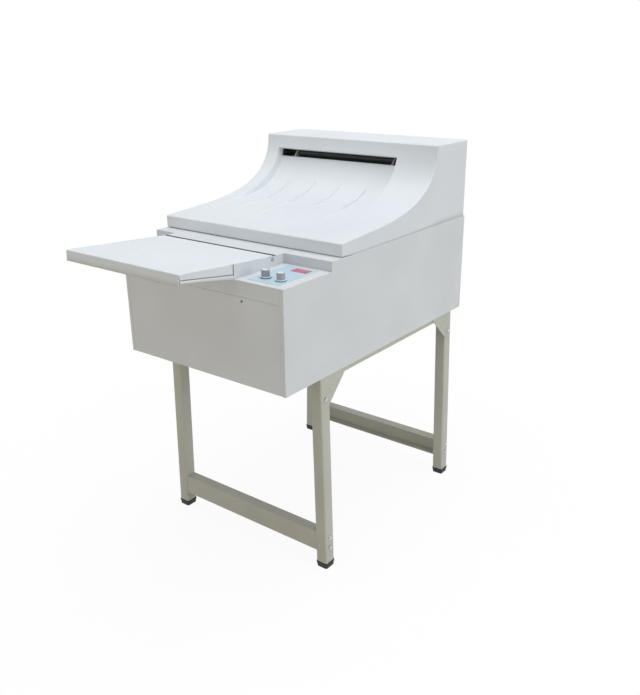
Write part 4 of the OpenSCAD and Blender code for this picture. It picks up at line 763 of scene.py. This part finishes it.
# %% [markdown]
# The film round the knobs carries a scale of plain ticks, printed a shade darker than the film. They are drawn as
# thin bars that stand a twentieth of a millimetre above it. The bars of a knob are worked out at once: one small box,
# turned and moved for every angle.

# %% Scale ticks
coat("scale_ink", (104, 142, 168), (96, 133, 160), rough=(0.4, 0.55), drift=80.0, peel=2500.0, depth=0.00001)
corner = np.array([[x, y, z] for z in (0, 1) for x, y in ((0, 0), (1, 0), (1, 1), (0, 1))], float)
angle = np.radians(np.linspace(-135, 135, 11))
tick_start, tick_width = 15.6, 0.55
tick_end = np.where(np.arange(len(angle)) % 5 == 0, 20.6, 19.4)[:, None]
c, s = np.cos(angle)[:, None], np.sin(angle)[:, None]
bar = np.stack([(corner[:, 0] - 0.5) * tick_width + 0 * c, tick_start + corner[:, 1] * (tick_end - tick_start),
                corner[:, 2] * 0.15 - 0.1 + 0 * c], axis=-1) * MM
bar[..., 0], bar[..., 1] = bar[..., 0] * c + bar[..., 1] * s, bar[..., 1] * c - bar[..., 0] * s
bars = np.concatenate([bar + foot for foot in knob_feet])
sides_of_bar = np.array([[3, 2, 1, 0], [4, 5, 6, 7], [0, 1, 5, 4], [1, 2, 6, 5], [2, 3, 7, 6], [3, 0, 4, 7]])
bar_faces = (sides_of_bar + 8 * np.arange(len(bars))[:, None, None]).reshape(-1, 4)
piece("scale_ticks", [(bars.reshape(-1, 3), bar_faces)], "cabinet", "overlay_film", finish="scale_ink")

# %% [markdown]
# ## Screws and pins
# The front panel is held by two pan-head screws, and more of the same hold the rear panel and the leaves of the hood's
# hinges. A pan head is nearly flat on top, falls off at its rim, and has a cross stamped in. It could be cut with a
# boolean, but a polar grid does it in one go: the height is a flattened dome, less the depth of the cross where a
# point lies within either of its two bars.

# %% Pan-head screws
screw_radius, screw_height = 3.5 * MM, 1.6 * MM


def pan_head(centre, along, turn):
    """Height = dome (1 - u^5) on radius share u, less 0.6 of the height inside two crossed bars."""
    along = np.asarray(along, float)
    first = np.cross(along, (0.0, 0.0, 1.0))
    second = np.cross(along, first)
    u = np.linspace(0, 1, 36)[:, None]
    a = np.linspace(0, 2 * np.pi, 96, endpoint=False)[None] + turn
    p, q = np.abs(u * np.cos(a - turn)), np.abs(u * np.sin(a - turn))
    half, reach, slope_in, slope_end = 0.16, 0.62, 0.07, 0.1
    upright = ease((half - p) / slope_in) * ease((reach - q) / slope_end)
    level = ease((half - q) / slope_in) * ease((reach - p) / slope_end)
    rise = screw_height * ((1 - u ** 5) - 0.6 * np.maximum(upright, level))
    spoke = np.cos(a)[..., None] * first + np.sin(a)[..., None] * second
    points = np.asarray(centre, float) + screw_radius * u[..., None] * spoke + rise[..., None] * along
    return grid(points, around=True)


screw_lo, screw_hi = box_of("panel_screws")
screw_z = (screw_lo[2] + screw_hi[2]) / 2
panel_y = screw_lo[1] + screw_height
shank = np.array([(3.5, 0), (1.75, -0.1), (1.75, -7.2), (0, -7.5)]) * MM
screws = []
for x, turn in ((screw_lo[0] + screw_radius, 0.4), (screw_hi[0] - screw_radius, 1.1)):
    seat = np.array([x, panel_y, screw_z])
    screws += [pan_head(seat, (0, -1, 0), turn), turned(shank, seat, (0, -1, 0), 96)]
# darker steel on the front screws: painted shade for their shadowed recesses
coat("painted_shade_steel", (112, 110, 107), (92, 90, 88), rough=(0.3, 0.5), drift=60.0, metallic=1.0)
piece("front_screws", screws, "cabinet", "bright_steel", ["panel_screws"], crisp=30, outward=False,
      finish="painted_shade_steel")

# %% [markdown]
# The lid swings on two pins. Their heads show on the cheeks as a bright stud in a ring.

# %% Hinge pins
stud = np.array([(0, -30), (2.7, -30), (3, -29.6), (3, 0), (5.3, 0), (5.3, 0.8), (5.0, 1.15), (4.3, 1.15), (4.0, 0.5),
                 (3.4, 0.5), (3.1, 1.1), (2.4, 1.4), (0, 1.5)]) * MM
pin_out = 1.2 * MM
pins = [turned(stud, (pin_hi[0] - pin_out, *pin), (1, 0, 0)), turned(stud, (pin_lo[0] + pin_out, *pin), (-1, 0, 0))]
piece("hinge_pins", pins, "cabinet", "bright_steel", ["lid_hinge_pins"], crisp=30)

# %% [markdown]
# ## The back
# Air leaves through six pressed louvres, and four hose tails bring water in and take the spent baths out. A louvre is
# a slit whose upper lip is pushed out, so its section bulges and its bulge dies away toward both ends. A hose tail has
# a hexagon to hold the spanner and barbs that slope one way, so that a hose pushes on but doesn't slip off.

# %% Louvres
rear_lo, rear_hi = box_of("rear_panel")
slot_mid = (rear_lo[0] + rear_hi[0]) / 2 - 8.0 * MM
bulge = np.radians(np.linspace(0, 100, 12))[:, None]
share_x = np.linspace(-1, 1, 49)[None]
swell = np.sqrt(np.clip(1 - np.abs(share_x) ** 6, 0, 1))
half_width, stand_out, tallness = 46.5 * MM, 3.6 * MM, 6.2 * MM
bulge_x = slot_mid + half_width * share_x + 0 * bulge
bulge_y = rear_hi[1] + 0.05 * MM + stand_out * np.sin(bulge) * swell
louvres = []
for z in rear_lo[2] + (169.2 + 12 * np.arange(6)) * MM:
    bulge_z = z + tallness * np.cos(bulge) - 0.6 * MM + 0 * share_x
    louvres.append(grid(np.stack([bulge_x, bulge_y, bulge_z], axis=-1)))
louvre_hoods = piece("louvre_hoods", louvres, "cabinet", "painted_panel", outward=False)
give_wall(louvre_hoods, 0.8 * MM)

# %% Hose tails
tail_lo, tail_hi = box_of("rear_fittings")
barbs, barb_pitch = 4, 4.6
barb_r = np.tile([7.1, 8.0, 8.0], barbs)
barb_y = 11.2 + np.repeat(np.arange(barbs), 3) * barb_pitch + np.tile([0, 0.2, 1.2], barbs)
tail = join_lines([(0, -15.4), (7.6, -15.4), (8, -15), (8, 0), (11.5, 0), (11.5, 8.8), (9, 8.9), (8, 8.9), (8, 11)],
                  np.stack([barb_r, barb_y], axis=1),
                  [(7.0, 31.0), (6.4, 31.9), (5.6, 32), (5.4, 31.4), (5.4, 14), (0, 14)]) * MM
nut = np.array([(0, 0.1), (13.9, 0.1), (13.9, 5.4), (12.4, 6), (0, 6)]) * MM
tails = []
for x in np.linspace(tail_lo[0] + 14 * MM, tail_hi[0] - 14 * MM, 4):
    seat = np.array([x, rear_hi[1], (tail_lo[2] + tail_hi[2]) / 2])
    tails += [turned(tail, seat, (0, 1, 0)), turned(nut, seat, (0, 1, 0), share=hexagon)]
piece("hose_tails", tails, "cabinet", "tank_plastic", ["rear_fittings"], crisp=30)

# %% [markdown]
# The rear panel has two screws down each side, and each leaf of the hood's hinges has two. A hand driver stops at any
# angle, so each cross is turned by its place across the back.

# %% Rear screws
def facing_back(x, y, z):
    """A screw in the back, its cross turned by 40 radians for each metre of x, so that those in a row differ."""
    return pan_head((x, y, z), (0, 1, 0), x * 40)


margin = 14 * MM
screws_x = (rear_lo[0] + 11 * MM, rear_hi[0] - 11 * MM)
screws_z = (rear_lo[2] + margin, (rear_lo[2] + rear_hi[2]) / 2)
hinge_lo, hinge_hi = box_of("hood_hinge_fixed")
leaf_top = box_of("hood_hinge_moving")[1][2]
leaf_y = hinge_lo[1] + 2 * MM
leaf_x = [edge_x + way * step * MM for edge_x, way in ((hinge_lo[0], 1), (hinge_hi[0], -1)) for step in (14, 56)]
rear_screws = [facing_back(x, rear_hi[1], z) for x in screws_x for z in screws_z]
rear_screws += [facing_back(x, leaf_y, hinge_lo[2] + margin) for x in leaf_x]
piece("rear_screws", rear_screws, "cabinet", "bright_steel", crisp=30, outward=False)
hood_screws = [facing_back(x, leaf_y, leaf_top - margin) for x in leaf_x]
piece("hood_hinge_screws", hood_screws, "hood", "bright_steel", crisp=30, outward=False)

# %% [markdown]
# ## Seams
# Where two painted sheets meet there is a thin line, not a black gap: paint has run into it. A slim painted bead lies
# a fraction of a millimetre below the two faces, along the right edge of the front panel, along the seam above it, and
# in the inner corner of the control recess. Under the front of the hood a grey strip, set further in at the left,
# stands for the shadow in the joint to the deck: it is painted shade, and shows as a thin dark line.

# %% Beads and painted shade strip
front_lo, front_hi = box_of("front_panel")
bead = rounded_outline((-0.6 * MM, -0.6 * MM), (0.6 * MM, 0.6 * MM), 0.4 * MM, 4)
edge_x, edge_y = front_hi[0] + 0.4 * MM, front_lo[1] + 0.9 * MM
seam_y, seam_z = front_lo[1] + 1.7 * MM, front_hi[2] + 0.4 * MM
nook_x, nook_y = pin_hi[0] - pin_out + 0.3 * MM, hood_lo[1] - 44.0 * MM
edge_line = [[edge_x, edge_y, front_lo[2]], [edge_x, edge_y, overlay_lo[2] - 1 * MM]]
seam_line = [[front_lo[0], seam_y, seam_z], [front_hi[0], seam_y, seam_z]]
nook_line = [[nook_x, nook_y, overlay_lo[2]], [nook_x, nook_y, deck_hi[2] - 1 * MM]]
beads = carried(bead, edge_line, (1, 0, 0), (0, 1, 0))
beads += carried(bead, seam_line, (0, 1, 0), (0, 0, 1))
beads += carried(bead, nook_line, (1, 0, 0), (0, 1, 0))
piece("paint_beads", beads, "cabinet", "painted_panel")

# a grey strip under the hood's lip: painted shade for the gap to the deck
coat("lip_shade_grey", (172, 175, 179), (160, 163, 167), rough=(0.6, 0.8), drift=40.0, peel=900.0, depth=0.0002)
lip_shade = rounded_outline((0, 0), (6 * MM, 2.2 * MM), 0.6 * MM, 4)
lip_shade_line = [[hood_lo[0] + 4 * MM, hood_lo[1] + 3.4 * MM, hood_lo[2]],
               [hood_lo[0] + 400 * MM, hood_lo[1] + 2.6 * MM, hood_lo[2]],
               [hood_hi[0] - 4 * MM, hood_lo[1] + 0.5 * MM, hood_lo[2]]]
piece("hood_lip_shade", carried(lip_shade, lip_shade_line, (0, 1, 0), (0, 0, 1)), "hood", "roller_rubber", finish="lip_shade_grey")

# %% [markdown]
# ## Floor and light
# A plain white floor runs into a white surround. The floor takes the machine's soft shadow near its feet, and fades to
# plain white further out. That white is there for the eye, also through glass, and for shiny faces to mirror, with the
# surround at half strength, so it adds little light. A large soft lamp overhead is the key, one like a window lights
# the right side, a warm one fills the front, and two weak ones at the left and at the back lift the shadows.

# %% Floor
def looked_at(tree, mirrored=1.0):
    """1 for a ray from the eye or through glass, a share of 1 for one off a shiny face, 0 for any other."""
    rays = node(tree, "ShaderNodeLightPath").outputs
    shiny = combine(tree, "MULTIPLY", rays["Is Glossy Ray"], mirrored)
    straight = combine(tree, "MAXIMUM", rays["Is Camera Ray"], rays["Is Transmission Ray"])
    return combine(tree, "MAXIMUM", straight, shiny)


def show(tree, output, factor, first, second):
    """Send the first shader to the output where the factor is 0, the second where it is 1, and a mix between."""
    blend = node(tree, "ShaderNodeMixShader")
    for value, socket in zip((factor, first.outputs[0], second.outputs[0]), blend.inputs):
        plug(tree, value, socket)
    plug(tree, blend.outputs[0], tree.nodes[output].inputs["Surface"])


def disc(radius, rings=40, sides=96):
    """Rings of a flat disc, at radius * share squared, so they lie closer together near the middle."""
    r = radius * np.linspace(0.001, 1, rings)[:, None] ** 2
    a = np.linspace(0, 2 * np.pi, sides, endpoint=False)[None]
    return np.stack([r * np.cos(a), r * np.sin(a), 0 * r * a], axis=-1)


floor_mesh = bpy.data.meshes.new("floor")
floor_points, floor_quads = grid(disc(9.0), around=True, flip=True)
floor_mesh.from_pydata(floor_points.tolist(), [], floor_quads.tolist())
floor = bpy.data.objects.new("floor", floor_mesh)
scene.collection.objects.link(floor)
white = bpy.data.materials.new("studio_floor")
white.use_nodes = True
tree = white.node_tree
shader = tree.nodes["Principled BSDF"]
shader.inputs["Roughness"].default_value = 0.9
from_eye = node(tree, "ShaderNodeLightPath").outputs["Is Camera Ray"]
plug(tree, tone(tree, from_eye, (0.46, 0.42, 0.35), (0.95, 0.95, 0.95)), shader.inputs["Base Color"])
reach = node(tree, "ShaderNodeVectorMath", operation="LENGTH",
             Vector=node(tree, "ShaderNodeTexCoord").outputs["Object"]).outputs["Value"]
fade = node(tree, "ShaderNodeMapRange", Value=reach, From_Min=0.75, From_Max=1.7, To_Min=0.93, To_Max=1.0,
            interpolation_type="SMOOTHSTEP").outputs["Result"]
blank = node(tree, "ShaderNodeEmission", Color=(1, 1, 1, 1), Strength=1.0)
show(tree, "Material Output", combine(tree, "MULTIPLY", looked_at(tree), fade), shader, blank)
floor_mesh.materials.append(white)
print("floor points", len(floor_points))

# %% World and lamps
world = bpy.data.worlds.new("studio")
scene.world = world
world.use_nodes = True
tree = world.node_tree
glow = tree.nodes["Background"]
glow.inputs["Color"].default_value = (0.94, 0.97, 1.0, 1)
glow.inputs["Strength"].default_value = 0.34
surround = node(tree, "ShaderNodeBackground", Color=(1, 1, 1, 1), Strength=1.0)
show(tree, "World Output", looked_at(tree, 0.5), glow, surround)


def soft_box(name, place, size, power, aim=(0.0, 0.0, 0.7), colour=(1, 1, 1)):
    """A square area lamp that faces a point."""
    lamp = bpy.data.lights.new(name, "AREA")
    lamp.size = size
    lamp.energy = power
    lamp.color = colour
    made = bpy.data.objects.new(name, lamp)
    facing = (Vector(aim) - Vector(place)).to_track_quat("-Z", "Y").to_matrix().to_4x4()
    made.matrix_world = Matrix.Translation(place) @ facing
    scene.collection.objects.link(made)


soft_box("ceiling", (0.2, 0.1, 4.6), 3.4, 113, colour=(0.97, 0.99, 1.0))
soft_box("left", (-3.5, -0.7, 2.2), 2.2, 20, aim=(0.0, 0.0, 0.1))
soft_box("back", (0.4, 4.6, 2.3), 2.6, 26, aim=(0.0, 0.2, 0.1))
soft_box("window", (4.4, 0.2, 1.5), 3.0, 80, colour=(0.95, 0.98, 1.0))
soft_box("fill", (-1.4, -4.0, 1.2), 2.4, 30, colour=(1.0, 0.91, 0.75))
